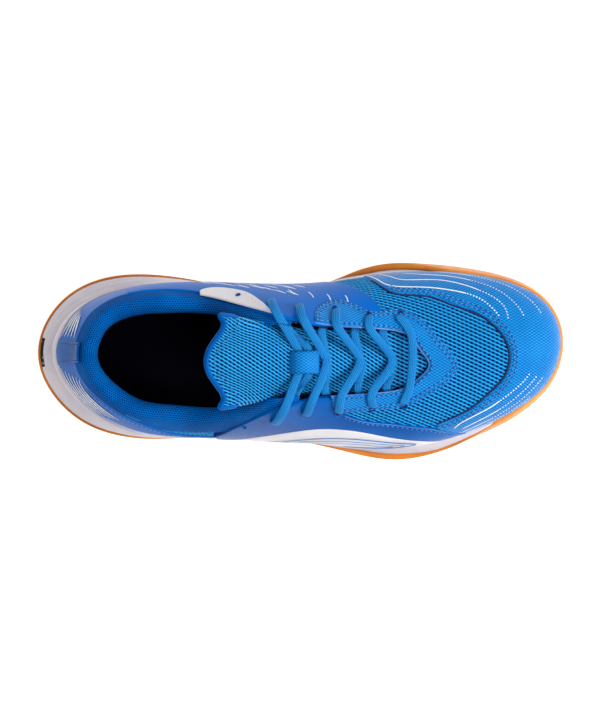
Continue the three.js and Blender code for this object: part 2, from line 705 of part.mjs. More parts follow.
const gum = material(0xcf8a3c, 0.55);
const foam = material(0xe4e2ea, 0.6);
const mesh = material(0x1f6fd0, 0.8);
const film = material(0x1c62c4, 0.45);
const white = material(0xeeeef2, 0.5);
const navy = material(0x10163c, 0.8);
const braid = material(0x2f86dc, 0.75);

function add(name, geometry, finish) {
  const piece = new THREE.Mesh(geometry, finish);
  piece.name = name;
  group.add(piece);
}

add('outsole', outsole(), gum);
add('heel_insert', heelInsert(0), navy);
add('midsole', subtract(midsole(), [shankPlate(GAP), heelInsert(1)]), foam);
add('shank_plate', shankPlate(0), navy);
add('strobel_board', bedPlate(GAP, GAP + BOARD, -4.9), white);
add('insole_foam', bedPlate(2 * GAP + BOARD, 2 * GAP + BOARD + FOAM, -5), foam);
add('insole_cover', bedPlate(3 * GAP + BOARD + FOAM, 3 * GAP + BOARD + FOAM + COVER, -5), navy);
add('mesh_upper', subtract(meshUpper(), SLOTS), mesh);
add('lining', subtract(lining(), SLOTS), navy);
add('collar_pad', collarPad(), foam);
add('collar_cover', collarCover(), mesh);
add('heel_counter', heelCounter(), white);
add('toe_puff', toePuff(), white);
add('toe_cap', toeCap(), film);
add('eyestay', eyestay(), film);
add('eyelet_backer_medial', eyeletBacker(columns(6, 10.5)), navy);
add('eyelet_backer_lateral', eyeletBacker(columns(18, 22.5)), navy);
add('medial_quarter', medialQuarter(), film);
add('lateral_quarter', lateralQuarter(), film);
add('medial_patch', medialPatch(), white);
add('lateral_patch', lateralPatch(), white);
add('heel_film', heelFilm(), film);
add('heel_strip', heelStrip(), film);
const END = TONGUE.length - 1;
add('tongue_base_face', tonguePiece(0, TONGUE_SPLIT - 0.12, TONGUE_FACE, 0.98), mesh);
add('tongue_base_foam', tonguePiece(0, TONGUE_SPLIT - 0.12, TONGUE_FOAM, 0.96), foam);
add('tongue_flap_face', tonguePiece(TONGUE_SPLIT + 0.12, END - 0.6, TONGUE_FACE, 0.86), mesh);
add('tongue_flap_foam', tonguePiece(TONGUE_SPLIT + 0.12, END - 0.6, TONGUE_FOAM, 0.84), foam);
add('tongue_binding', tongueBinding(), film);
add('lace_keeper', laceKeeper(), film);
add('lace', lace(), braid);
for (const [name, route] of Object.entries(TAILS)) {
  add('lace_tail_' + name, laceTail(route), braid);
  add('aglet_' + name, aglet(route), white);
}

// the origin is the middle of the footprint, on the ground
const box = new THREE.Box3().setFromObject(group);
group.position.set(-(box.min.x + box.max.x) / 2, -(box.min.y + box.max.y) / 2, -box.min.z);

export default group;
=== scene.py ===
import math

import bpy
import numpy as np
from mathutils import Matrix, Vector


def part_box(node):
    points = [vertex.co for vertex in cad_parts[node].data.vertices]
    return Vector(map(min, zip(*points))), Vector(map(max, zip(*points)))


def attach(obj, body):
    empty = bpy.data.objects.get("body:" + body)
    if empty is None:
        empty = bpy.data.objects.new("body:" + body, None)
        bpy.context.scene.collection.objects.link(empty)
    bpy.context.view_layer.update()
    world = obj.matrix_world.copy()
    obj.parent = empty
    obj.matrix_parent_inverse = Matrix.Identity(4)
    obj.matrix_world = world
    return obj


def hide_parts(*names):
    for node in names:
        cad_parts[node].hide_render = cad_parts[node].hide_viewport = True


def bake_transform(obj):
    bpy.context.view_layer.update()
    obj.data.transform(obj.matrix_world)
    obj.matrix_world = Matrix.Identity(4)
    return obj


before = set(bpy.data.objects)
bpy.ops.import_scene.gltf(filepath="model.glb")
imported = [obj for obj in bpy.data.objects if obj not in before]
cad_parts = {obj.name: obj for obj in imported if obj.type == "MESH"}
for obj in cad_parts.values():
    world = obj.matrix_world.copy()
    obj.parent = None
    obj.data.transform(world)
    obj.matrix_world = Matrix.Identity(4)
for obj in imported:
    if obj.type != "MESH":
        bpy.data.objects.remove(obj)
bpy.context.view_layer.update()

# Lengths are millimetres in the part's own frame, as in part.mjs, and become metres in the meshes.
# A place on the upper is a pair (u, t): u counts the stations round the shoe from the heel along
# the medial side, and t runs from 0 at the feather line to 1 at the topline.

MM = 0.001
SHANK_CENTRE = (-28.0, 0.0)
plate_low, plate_high = (np.array(corner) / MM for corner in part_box("shank_plate"))
SHIFT = np.array([*((plate_low + plate_high)[:2] / 2 - SHANK_CENTRE), 0.0])

# feather x, y, z | topline x, y, z | bulge, rise, reach, drop | sole flare
STATIONS = np.array([
    (-137.5, 4.5, 42, -120.5, 4, 88, 3, 16, 5, 16, 13.5),
    (-130, 22, 41, -116, 18.5, 87.5, 3, 16, 5, 16, 13.5),
    (-115.5, 32.3, 40, -108, 27.6, 85, 3, 16, 5, 15, 13.5),
    (-95, 38.8, 38, -92, 33.8, 79, 3, 15, 6, 13, 10.5),
    (-68, 41.5, 35, -66, 34.8, 73, 4, 14, 6, 12, 5),
    (-40, 40.5, 32, -40, 30, 83, 6, 18, 9, 17, 0),
    (-10, 39.5, 30, -14, 23.5, 98, 8, 22, 11, 20, -1.5),
    (16, 42, 29, 8, 18.5, 91, 7, 21, 14, 15, 1),
    (36.5, 46.5, 28, 24, 17.5, 82, 4, 19, 17, 12, 5),
    (60, 48.8, 28, 40, 17.2, 74, 3, 17, 20, 10, 7),
    (84, 49, 28, 54, 16, 68.5, 2, 17, 24, 8, 5.5),
    (110, 45.4, 28, 63, 12, 65.5, 2, 18, 30, 7, 4.5),
    (129, 38.6, 29, 67, 8, 64.5, 2, 19, 36, 7, 4),
    (141, 28, 30, 69.5, 3.5, 64, 2, 20, 41, 7, 3.5),
    (146, 13, 31, 70.5, -1, 63.5, 2, 21, 44, 7, 3.5),
    (143.5, -3, 30, 70.3, -4.5, 63.5, 2, 20, 42, 7, 4),
    (134.5, -17, 29, 68.5, -8.5, 64, 2, 19, 38, 7, 4.5),
    (116, -30, 28, 65, -12, 65, 2, 18, 32, 7, 6),
    (96, -38.5, 28, 58.5, -15, 67, 2, 17, 26, 8, 6),
    (77, -44.5, 28, 50, -16.5, 70, 2, 17, 22, 9, 7.5),
    (56, -47.5, 28, 38, -17.5, 75, 3, 17, 18, 10, 9),
    (34, -47, 28, 23, -18.5, 82.5, 4, 18, 16, 12, 6),
    (8, -44, 29, 4, -20, 92, 6, 20, 13, 15, 2.5),
    (-20, -42, 31, -17, -26.5, 97, 6, 21, 10, 19, 0.5),
    (-50, -41.5, 33, -48, -33, 76, 4, 16, 7, 13, 0.5),
    (-75, -41, 36, -72, -33, 70.5, 4, 13, 6, 12, 2.5),
    (-95, -37.2, 38, -92, -29.8, 77, 3, 15, 6, 13, 6.5),
    (-115.5, -27.5, 40, -108.5, -18.6, 85, 3, 16, 5, 15, 11.5),
    (-130, -13, 41, -117, -8.5, 87.5, 3, 16, 5, 16, 13.5),
], float)
LAPS = len(STATIONS)
CONTROLS = (8 * STATIONS - np.roll(STATIONS, 1, 0) - np.roll(STATIONS, -1, 0)) / 6
TUCK_HEIGHT = 40.0
TUCK_INWARD = 4.0
COLLAR_MEDIAL = 5.5
COLLAR_LATERAL = 23.0

# centre line of the tongue from its front to its tip: x, y, z, half width, drop at the edges
TONGUE = np.array([
    (80, -3, 53.5, 9, 2), (66, -3, 57, 13, 4.5), (54, -2, 62.8, 17, 8), (40, -1.5, 69.5, 19, 10.5),
    (24, -1, 78, 20, 11), (8, -1, 87, 20, 11.5), (-6, -1, 96, 18, 11.5), (-14, -0.5, 101.5, 18, 8),
    (-26, -0.5, 109.5, 22, 7), (-38, -0.5, 117, 25.5, 6.5), (-47, -0.5, 122, 25.5, 6),
    (-52, -0.5, 124.5, 23, 5),
], float)
TONGUE_END = len(TONGUE) - 1
TONGUE_THICKNESS = 4.8
HINGE_ROW = 7.3
HINGE_DEPTH = -2.0
HINGE_SLOPE = np.array([-0.012, 0, 0.008])
BINDING_ROW = 8.6
BINDING_RADIUS = 1.45

EYELETS = {
    "medial": [(9.6, 0.85), (8.6, 0.87), (7.45, 0.8), (6.45, 0.8), (5.85, 0.8)],
    "lateral": [(18.95, 0.85), (20.2, 0.85), (21.3, 0.81), (22.15, 0.82), (22.85, 0.79)],
}
OTHER = {"medial": "lateral", "lateral": "medial"}
LACE_UNDER = -6.5
LACE_EDGE = -3.4
LACE_OVER = 3.6
LACE_REST = 2.2
LACE_LIFT = 1.9
LACE_WIDTH = 4.7
LACE_THICKNESS = 2.0
BAR = (10.6, 17.95)
KEEPER_X = 1.5
KEEPER_STOPS = [(2.5, 7), (0, 0), (-3, -7)]
TAILS = {
    "medial": [
        (-17, 25, 76), (-17, 28, 68), (-15, 31, 58), (-8, 31, 46), (2, 30, 35),
        (14, 27, 27.5), (30, 23, 24), (48, 19.5, 22.5), (66, 16.5, 22.4), (80.6, 14.9, 22.7),
        (85.2, 12.2, 23), (87.9, 7.6, 23.1), (87.9, 2.4, 23.1), (85.2, -2.2, 23), (80.6, -4.9, 22.7),
        (68, -5, 22.4), (52, -2, 22.4), (38, 1, 23)],
    "lateral": [
        (-15, -26, 76), (-15, -30, 68), (-13, -31.5, 58), (-6, -33, 46), (4, -32, 35),
        (16, -30.5, 27.5), (30, -30, 24), (46, -30.5, 22.7), (62.3, -30.2, 22.4), (66.4, -27.9, 22.4),
        (68.7, -23.8, 22.4), (68.7, -19.2, 22.4), (66.4, -15.1, 22.4), (62.3, -12.8, 22.4),
        (48, -12.5, 22.5), (36, -13, 23.2)],
}
AGLET_LENGTH = 22.0
AGLET_RADIUS = 1.55

# how far each film stands off the upper's surface, and the rim it rounds off over
FILM_TOP = 1.3
STAY_FACE = 2.0
QUARTER_FACE = 1.5
HEEL_FACE = 0.9
STRIP_FACE = 1.7
PATCH_FOOT = 1.0
PATCH_RIM = 0.6
PRINT_ON_HEEL = 1.2
PRINT_ON_PATCH = 2.05
NET_STEP = 0.42
NET_FACE = 0.45
NET_FOOT = -0.6

GUM = 4.0
GUM_WALL = 2.5
GAP = 0.4
HEEL_FOOTBED = 23.0
BALL_FOOTBED = 12.5
BOARD = 1.2
FOAM = 4.0
COVER = 0.8
BED_RIM = -5.0
PIVOT = np.array([72.0, 4.0])
PIVOT_REACH = 20
WAIST = (-62, 12)

CAMERA_HEIGHT = 1500.0
SENSOR = 36.0
CAMERA_LENS = 129.24
FLOOR_REACH = 30.0
FLOOR_DROP = 0.0001
LAMP_COLOR = (1.0, 0.985, 0.955)
# name, place, target, size, watts
LAMPS = [("key", (0.45, -0.6, 2.1), (0, 0, 0.03), (0.6, 0.5), 15),
         ("fill", (-0.7, 0.9, 1.6), (0, 0, 0.03), (0.8, 0.6), 6),
         ("toe_strip", (1.0, -0.05, 0.75), (0.1, 0, 0.05), (0.25, 0.7), 15)]
SKY_COLOR = (1.0, 0.985, 0.96, 1)
SKY_STRENGTH = 0.28


# ---- the surface ---------------------------------------------------------------------------------

def norm(v):
    return v / np.linalg.norm(v, axis=-1, keepdims=True)


def station(u):
    u = np.asarray(u, float) % LAPS
    index = np.floor(u).astype(int)
    f = (u - index)[..., None]
    weights = [(1 - f) ** 3, 3 * f ** 3 - 6 * f ** 2 + 4, -3 * f ** 3 + 3 * f ** 2 + 3 * f + 1, f ** 3]
    return sum(w * CONTROLS[(index + j - 1) % LAPS] for j, w in enumerate(weights)) / 6


def skin(u, t):
    """A point of the upper; below the feather line it runs down inside the sole."""
    u, t = np.broadcast_arrays(np.asarray(u, float), np.asarray(t, float))
    row = station(u)
    feather, top = row[..., 0:3], row[..., 3:6]
    out = np.zeros_like(feather)
    out[..., :2] = norm(feather[..., :2] - top[..., :2])
    low = feather + out * row[..., 6:7]
    low[..., 2] += row[..., 7]
    high = top + out * row[..., 8:9]
    high[..., 2] -= row[..., 9]
    t = t[..., None]
    above = (1 - t) ** 3 * feather + 3 * (1 - t) ** 2 * t * low + 3 * (1 - t) * t * t * high + t ** 3 * top
    below = feather + out * TUCK_INWARD * t
    below[..., 2:3] = feather[..., 2:3] + TUCK_HEIGHT * t
    return np.where(t < 0, below, above)


def slopes(u, t):
    step = 0.01
    along = (skin(u + step, t) - skin(u - step, t)) / (2 * step)
    up = (skin(u, t + step) - skin(u, t - step)) / (2 * step)
    return along, up


def outward(u, t):
    along, up = slopes(u, t)
    return norm(np.cross(up, along))


def place(u, t, offset):
    return skin(u, t) + outward(u, t) * np.asarray(offset, float)[..., None]


def lifted(line, offset):
    """The points of a line on the surface, raised off it, and the surface's normals there."""
    return place(*line.T, offset), outward(*line.T)


def circle(count):
    return np.linspace(0, 2 * np.pi, count, endpoint=False)


def smooth(low, high, value):
    x = np.clip((np.asarray(value, float) - low) / (high - low), 0, 1)
    return x * x * (3 - 2 * x)


def spline(points, count):
    """Points spaced evenly along a centripetal Catmull-Rom curve through a list of points."""
    points = np.asarray(points, float)
    ends = [2 * points[0] - points[1], *points, 2 * points[-1] - points[-2]]
    dense = []
    for i in range(len(points) - 1):
        p0, p1, p2, p3 = ends[i:i + 4]
        k0, k1, k2 = (max(np.linalg.norm(b - a), 1e-9) ** 0.5 for a, b in ((p0, p1), (p1, p2), (p2, p3)))
        m1 = ((p1 - p0) / k0 - (p2 - p0) / (k0 + k1) + (p2 - p1) / k1) * k1
        m2 = ((p2 - p1) / k1 - (p3 - p1) / (k1 + k2) + (p3 - p2) / k2) * k1
        f = np.linspace(0, 1, 24, endpoint=False)[:, None]
        dense.append((2 * f ** 3 - 3 * f ** 2 + 1) * p1 + (f ** 3 - 2 * f ** 2 + f) * m1
                     + (3 * f ** 2 - 2 * f ** 3) * p2 + (f ** 3 - f ** 2) * m2)
    return respaced(np.vstack([*dense, points[-1:]]), count)


def arc(points):
    return np.concatenate([[0], np.cumsum(np.linalg.norm(np.diff(points, axis=0), axis=1))])


def sampled(at, known, values):
    """Each column of the values, which are given at the known places, read at other places."""
    return np.stack([np.interp(at, known, column) for column in values.T], 1)


def respaced(points, count):
    length = arc(points)
    return sampled(np.linspace(0, length[-1], count), length, points)


def on_skin(route, count, scale=(8.0, 40.0)):
    """A line of (u, t) pairs through given pairs, spaced evenly in millimetres on the surface."""
    route = spline(np.asarray(route, float) * scale, 400) / scale
    length = arc(skin(route[:, 0], route[:, 1]))
    return sampled(np.linspace(0, length[-1], count), length, route)


def beside(line, distance):
    """The same line moved sideways on the surface, positive to the left of its direction."""
    along, up = slopes(line[:, 0], line[:, 1])
    tangent = norm(np.gradient(skin(line[:, 0], line[:, 1]), axis=0))
    side = norm(np.cross(outward(line[:, 0], line[:, 1]), tangent)) * distance
    aa, bb, ab = (along * along).sum(-1), (up * up).sum(-1), (along * up).sum(-1)
    sa, sb = (side * along).sum(-1), (side * up).sum(-1)
    det = aa * bb - ab * ab
    return line + np.stack([(sa * bb - sb * ab) / det, (sb * aa - sa * ab) / det], 1)


def flat_pattern():
    """The flat place of each point of the surface, as if the upper were spread out from the topline."""
    us = np.linspace(0, LAPS, LAPS * 12 + 1)
    ts = np.linspace(1, -0.4, 141)
    points = skin(us[:, None], ts[None, :])
    step = np.diff(points, axis=1)
    level = np.linalg.norm(step[..., :2], axis=-1, keepdims=True)
    direction = step[..., :2] / np.maximum(level, 1e-6)
    grown = direction * np.linalg.norm(step, axis=-1, keepdims=True)
    flat = np.concatenate([points[:, :1, :2], points[:, :1, :2] + np.cumsum(grown, axis=1)], axis=1)
    return us, ts, flat


PATTERN_U, PATTERN_T, PATTERN = flat_pattern()


def pattern(u, t):
    u, t = np.broadcast_arrays(np.asarray(u, float) % LAPS, np.asarray(t, float))
    i = np.clip(u / PATTERN_U[1], 0, len(PATTERN_U) - 1.001)
    j = np.clip((t - 1) / (PATTERN_T[1] - 1), 0, len(PATTERN_T) - 1.001)
    a, b = i.astype(int), j.astype(int)
    fa, fb = (i - a)[..., None], (j - b)[..., None]
    near = PATTERN[a, b] * (1 - fb) + PATTERN[a, b + 1] * fb
    far = PATTERN[a + 1, b] * (1 - fb) + PATTERN[a + 1, b + 1] * fb
    return near * (1 - fa) + far * fa


# ---- mesh building -------------------------------------------------------------------------------

def mesh_piece(name, points, faces, finish, uv=None, body="shoe", replaces=(), slot=None, attribute=None):
    mesh = bpy.data.meshes.new(name)
    points = np.asarray(points, float).reshape(-1, 3)
    faces = [np.asarray(f) for f in (faces if isinstance(faces, list) else [faces])]
    corners = [(points[f[:, 0]] * np.cross(points[f[:, 1]], points[f[:, 2]])).sum() for f in faces]
    if sum(corners) < 0:
        faces = [f[:, ::-1] for f in faces]
    mesh.from_pydata((points + SHIFT) * MM, [], [tuple(row) for f in faces for row in f.tolist()])
    mesh.polygons.foreach_set("use_smooth", [True] * len(mesh.polygons))
    if uv is not None:
        corner = np.empty(len(mesh.loops), int)
        mesh.loops.foreach_get("vertex_index", corner)
        layer = mesh.uv_layers.new(name="pattern")
        layer.data.foreach_set("uv", np.asarray(uv, float).reshape(-1, 2)[corner].ravel())
    if attribute is not None:
        shade = mesh.attributes.new("shade", "FLOAT", "POINT")
        shade.data.foreach_set("value", np.ravel(attribute).astype(float))
    mesh.materials.append(finish)
    mesh.update()
    piece = bpy.data.objects.new(name, mesh)
    bpy.context.scene.collection.objects.link(piece)
    if body:
        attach(piece, body)
    if replaces:
        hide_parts(*replaces)
    return piece


def quads(rows, columns, wrap_rows=False, wrap_columns=False, start=0):
    i = np.arange(rows if wrap_rows else rows - 1)
    j = np.arange(columns if wrap_columns else columns - 1)
    i, j = np.meshgrid(i, j, indexing="ij")
    k, m = (i + 1) % rows, (j + 1) % columns
    i, k = i * columns, k * columns
    return np.stack([i + j, k + j, k + m, i + m], -1).reshape(-1, 4) + start


def closed_sheet(rows, columns, wrap=False):
    """Faces of a body with an outer and an inner face on the same grid."""
    count = rows * columns
    outer = quads(rows, columns, wrap)
    inner = outer[:, ::-1] + count
    i = np.arange(rows if wrap else rows - 1)
    i, k = i * columns, (i + 1) % rows * columns
    low = np.stack([i, i + count, k + count, k], 1)
    i, k = i + columns - 1, k + columns - 1
    high = np.stack([k, k + count, i + count, i], 1)
    sides = [outer, inner, low, high]
    if not wrap:
        j = np.arange(columns - 1)
        end = (rows - 1) * columns
        sides.append(np.stack([j, j + 1, j + 1 + count, j + count], 1))
        sides.append(np.stack([end + j + count, end + j + 1 + count, end + j + 1, end + j], 1))
    return np.vstack(sides)


def sheet(name, outer, inner, flat, finish, wrap=False, **kind):
    """A body between two faces on one grid, which share one flat pattern."""
    points = np.concatenate([outer.reshape(-1, 3), inner.reshape(-1, 3)])
    uv = np.tile(flat.reshape(-1, 2), (2, 1))
    return mesh_piece(name, points, closed_sheet(*outer.shape[:2], wrap), finish, uv=uv, **kind)


def fan(count):
    """Quads that close a ring of points."""
    return [(j, j + 1, count - 2 - j, count - 1 - j) for j in range(count // 2 - 1)]


def tube_faces(rings, sides):
    """Faces of a closed tube: its side, and a fan of quads over each end."""
    cap = np.array(fan(sides))
    return np.vstack([quads(rings, sides, wrap_columns=True), cap, cap[:, ::-1] + (rings - 1) * sides])


def spaced(lengths, count, rim):
    """Shares across a panel, with rows close together within rim of both edges."""
    near = np.array([0, 0.08, 0.25, 0.55, 1.0]) * rim
    lengths = np.asarray(lengths, float)[:, None]
    near = np.minimum(near[None, :], lengths * np.array([0, 0.04, 0.1, 0.18, 0.26])[None, :]) / lengths
    middle = near[:, -1:] + (1 - 2 * near[:, -1:]) * np.linspace(0, 1, count)[None, 1:-1]
    return np.hstack([near, middle, 1 - near[:, ::-1]])


def panel_grid(low, high, step, rim):
    """A grid of (u, t) pairs between two lines on the surface, and each point's distance to the rim."""
    length = max(arc(skin(*np.asarray(line).T))[-1] for line in (low, high))
    width = np.linalg.norm(skin(*low.T) - skin(*high.T), axis=1)
    along = spaced([length], max(6, int(length / step)), rim)[0]
    index = np.linspace(0, 1, len(low))
    low, high = (sampled(along, index, line) for line in (low, high))
    width = np.maximum(np.interp(along, index, width), 0.4)
    across = spaced(width, max(5, int(width.max() / step)), rim)
    grid = low[:, None] + (high - low)[:, None] * across[..., None]
    edge = np.minimum(across, 1 - across) * width[:, None]
    edge = np.minimum(edge, (np.minimum(along, 1 - along) * length)[:, None])
    return grid[..., 0], grid[..., 1], edge


def panel(name, low, high, finish, inner=-0.2, outer=FILM_TOP, step=1.6, rim=1.0, **kind):
    """A sheet laid on the upper between two lines, with a rounded rim."""
    count = 240
    low, high = (on_skin(line, count) for line in (low, high))
    u, t, edge = panel_grid(low, high, step, rim)
    fall = 1 - np.sqrt(np.maximum(0, 1 - (1 - np.clip(edge / rim, 0, 1)) ** 2))
    top = outer - fall * (outer - inner) * 0.85
    sheet(name, place(u, t, top), place(u, t, inner), pattern(u, t), finish, attribute=[t, t], **kind)


def tube(name, path, radius, finish, sides=10, squash=1.0, normals=None, **kind):
    """A round or oval tube along a path, with rounded ends."""
    path = np.asarray(path, float)
    count = len(path)
    tangent = norm(np.gradient(path, axis=0))
    up = np.tile((0.0, 0.0, 1.0), (count, 1)) if normals is None else normals
    side = norm(np.cross(up, tangent))
    up = np.cross(tangent, side)
    distance = arc(path)
    reach = np.minimum(distance, distance[-1] - distance)
    taper = np.sqrt(np.clip(1 - (1 - np.clip(reach / radius, 0.02, 1)) ** 2, 0, 1))
    angle = circle(sides)
    x, y = np.cos(angle)[None, :, None], np.sin(angle)[None, :, None] * squash
    ring = side[:, None] * x + up[:, None] * y
    points = path[:, None] + ring * (radius * taper)[:, None, None]
    uv = np.stack(np.broadcast_arrays(distance[:, None], (angle * radius)[None, :]), -1)
    return mesh_piece(name, points, tube_faces(count, sides), finish, uv=uv, **kind)


def surface_tube(name, line, offset, radius, finish, **kind):
    path, normals = lifted(line, offset)
    return tube(name, path, radius, finish, normals=normals, **kind)


def strips(name, lines, finish, height=0.12, **kind):
    """Thin flat strips of print, and the strips of painted shadow under the seams: each line is (points,
    normals, half widths), and all become one piece.
    """
    points, faces, start = [], [], 0
    for path, normals, half in lines:
        tangent = norm(np.gradient(path, axis=0))
        side = np.cross(normals, tangent) * np.asarray(half, float).reshape(-1, 1)
        rise = normals * height
        rows = np.stack([path - side, path - side + rise, path + side + rise, path + side], 1)
        points.append(rows.reshape(-1, 3))
        faces.append(tube_faces(len(path), 4) + start)
        start += 4 * len(path)
    return mesh_piece(name, np.vstack(points), np.vstack(faces), finish, **kind)


def stitches(name, paths, finish, length=2.1, pitch=3.0, radius=0.28, sink=0.1, **kind):
    """Rows of separate thread stitches, each a short arched capsule; paths are (points, normals)."""
    rings, sides = 6, 6
    s = np.linspace(-1, 1, rings)
    angle = circle(sides)
    girth = np.sqrt(1 - 0.92 * s ** 2)
    x = np.repeat(s * length / 2, sides).reshape(rings, sides)
    y = girth[:, None] * np.cos(angle)[None] * radius
    arch = radius * (1.2 - 1.6 * s ** 2) - sink
    z = girth[:, None] * np.sin(angle)[None] * radius * 0.8 + arch[:, None]
    points, faces, start = [], [], 0
    for path, normals in paths:
        distance = arc(path)
        places = np.arange(pitch / 2, distance[-1] - pitch / 4, pitch)
        at, up, ahead = (sampled(places, distance, v)
                         for v in (path, normals, norm(np.gradient(path, axis=0))))
        up = norm(up)
        side = norm(np.cross(up, ahead))
        body = (at[:, None, None] + ahead[:, None, None] * x[None, ..., None]
                + side[:, None, None] * y[None, ..., None] + up[:, None, None] * z[None, ..., None])
        points.append(body.reshape(-1, 3))
        shape = tube_faces(rings, sides)
        for i in range(len(places)):
            faces.append(shape + start + i * rings * sides)
        start += len(places) * rings * sides
    return mesh_piece(name, np.vstack(points), np.vstack(faces), finish, **kind)


# ---- finishes ------------------------------------------------------------------------------------

def srgb(red, green, blue):
    def linear(c):
        c = c / 255
        return c / 12.92 if c <= 0.04045 else ((c + 0.055) / 1.055) ** 2.4
    return (linear(red), linear(green), linear(blue), 1.0)


def darker(color, share):
    return tuple(share * c for c in color)


class Value:
    """An output of a material's node; arithmetic on it adds Math nodes."""

    def __init__(self, finish, node, output=0):
        self.finish, self.node = finish, node
        self.socket = node.outputs[output]

    def output(self, name):
        return Value(self.finish, self.node, name)

    def math(self, operation, other=None):
        return self.finish.value("ShaderNodeMath", {0: self, 1: other}, operation=operation)

    def __add__(self, other):
        return self.math("ADD", other)

    def __sub__(self, other):
        return self.math("SUBTRACT", other)

    def __mul__(self, other):
        return self.math("MULTIPLY", other)

    def __truediv__(self, other):
        return self.math("DIVIDE", other)

    def __abs__(self):
        return self.math("ABSOLUTE")


def sin(value):
    return value.math("SINE")


def cos(value):
    return value.math("COSINE")


def centred(value):
    """The part after the decimal point, less a half: 0 in the middle of each cell."""
    return value.math("FRACT") - 0.5


class Finish:
    """A Principled material built from nodes."""

    def __init__(self, name, roughness, **sockets):
        self.material = bpy.data.materials.new(name)
        self.material.use_nodes = True
        self.tree = self.material.node_tree
        self.shader = next(n for n in self.tree.nodes if n.type == "BSDF_PRINCIPLED")
        self.shader.inputs["Roughness"].default_value = roughness
        self.shader.inputs["Specular IOR Level"].default_value = 0.3
        for key, value in sockets.items():
            self.shader.inputs[key.replace("_", " ")].default_value = value
        self.normal = None

    def feed(self, value, socket):
        if isinstance(value, Value):
            self.tree.links.new(value.socket, socket)
        elif value is not None:
            socket.default_value = value

    def value(self, kind, inputs=(), output=0, **settings):
        node = self.tree.nodes.new(kind)
        for key, setting in settings.items():
            setattr(node, key, setting)
        for key, value in dict(inputs).items():
            self.feed(value, node.inputs[key])
        return Value(self, node, output)

    def ramp(self, value, low, high, start=0.0, end=1.0):
        inputs = {"Value": value, "From Min": low, "From Max": high, "To Min": start, "To Max": end}
        return self.value("ShaderNodeMapRange", inputs, interpolation_type="SMOOTHSTEP")

    def mix(self, factor, a, b):
        """Mixes two colours, each an sRGB triple, a linear value of four numbers or another mix."""
        a, b = (srgb(*c) if isinstance(c, tuple) and len(c) == 3 else c for c in (a, b))
        return self.value("ShaderNodeMix", {0: factor, 6: a, 7: b}, 2, data_type="RGBA")

    def place(self):
        """Object coordinates in millimetres."""
        coords = self.value("ShaderNodeTexCoord", output="Object")
        return self.value("ShaderNodeVectorMath", {0: coords, 1: (1 / MM,) * 3}, operation="MULTIPLY")

    def plan(self, vector):
        """The first two coordinates of a vector."""
        x = self.value("ShaderNodeSeparateXYZ", {0: vector})
        return x, x.output(1)

    def flat(self):
        """The piece's own pattern coordinates in millimetres."""
        return self.plan(self.value("ShaderNodeUVMap", uv_map="pattern"))

    def noise(self, scale, detail=2.0):
        return self.value("ShaderNodeTexNoise", {"Vector": self.place(), "Scale": scale, "Detail": detail})

    def bump(self, height, distance):
        """Adds a height in millimetres to the surface."""
        inputs = {"Height": height, "Distance": distance * MM, "Strength": 1.0, "Normal": self.normal}
        self.normal = self.value("ShaderNodeBump", inputs)

    def done(self, color, roughness=None):
        for value, name in ((color, "Base Color"), (roughness, "Roughness"), (self.normal, "Normal")):
            self.feed(value, self.shader.inputs[name])
        return self.material


TURN = 2 * math.pi
NET_PITCH = (4.9, 2.2)  # along and across the shoe
NET_WAVES = (0.6, 0.25, 0.3)
BLUE_SHEEN = (0.06, 0.42, 1.0, 1.0)
EMBOSS_PITCH = (2.9, 1.65)


def blue_finish(name, roughness, level):
    """The base of every blue cloth and film: weak highlights that keep the surface's own hue."""
    return Finish(name, roughness, Specular_IOR_Level=level, Specular_Tint=BLUE_SHEEN)


def net_waves(p, q, cosine):
    """The waves that make the net at a flat place: the leading wave, and all three together."""
    along, across = p * (TURN / NET_PITCH[0]), q * (TURN / NET_PITCH[1])
    lead = cosine(along + across)
    waves = (lead, cosine(along - across), cosine(along * 2))
    first, second, third = (wave * weight for wave, weight in zip(waves, NET_WAVES))
    return lead, first + second + third


def net_depth(p, q):
    """How deep the net is at a flat place: 0 on the threads and 1 in the middle of a hole."""
    return smooth(-0.5, 0.9, net_waves(p, q, np.cos)[1])


def net_finish(name, thread, hole_shade, thread_highlight):
    """Net with fibres, painted shade darkening its holes and a painted highlight along one side of each
    thread.
    """
    finish = blue_finish(name, 0.5, 0.2)
    p, q = finish.flat()
    lead, shape = net_waves(p, q, cos)
    hole, lit = finish.ramp(shape, -0.02, 0.42), finish.ramp(lead, -0.98, -0.2, 0.75, 0.0)
    fibre = finish.ramp(sin(p * 9.0 + q * 14.0), -1.0, 1.0)
    tone = finish.mix(fibre, darker(thread, 0.86), thread)
    tone = finish.mix(finish.ramp(finish.noise(0.09), 0.35, 0.65, 0.0, 0.35), tone, darker(thread, 0.8))
    # painted highlight along one side of each thread
    tone = finish.mix(lit, tone, thread_highlight)
    finish.bump(fibre, 0.1)
    # painted shade in the holes
    return finish.done(finish.mix(hole, tone, hole_shade))


def film_finish(name, light, dark, emboss=True):
    """Moulded film, smooth or with a fine twill emboss whose ground between the raised dots is darkened
    with painted shade.
    """
    finish = blue_finish(name, 0.42, 0.3 if emboss else 0.12)
    if emboss:
        p, q = (axis * (TURN / pitch) for axis, pitch in zip(finish.flat(), EMBOSS_PITCH))
        dots = finish.ramp(cos(p) * cos(q), -0.6, 0.6)
        finish.bump(dots, 0.16)
        # painted shade: the ground between the raised dots takes the dark colour
        tone = finish.mix(dots, dark, light)
    else:
        tone = finish.mix(finish.ramp(finish.noise(0.02), 0.3, 0.7), dark, light)
        finish.bump(finish.noise(1.2, 4.0), 0.02)
    tone = finish.mix(finish.ramp(finish.noise(0.12, 3.0), 0.3, 0.8, 0.0, 0.25), tone, dark)
    return finish.done(tone, finish.ramp(finish.noise(0.5, 3.0), 0.2, 0.8, 0.3, 0.46))


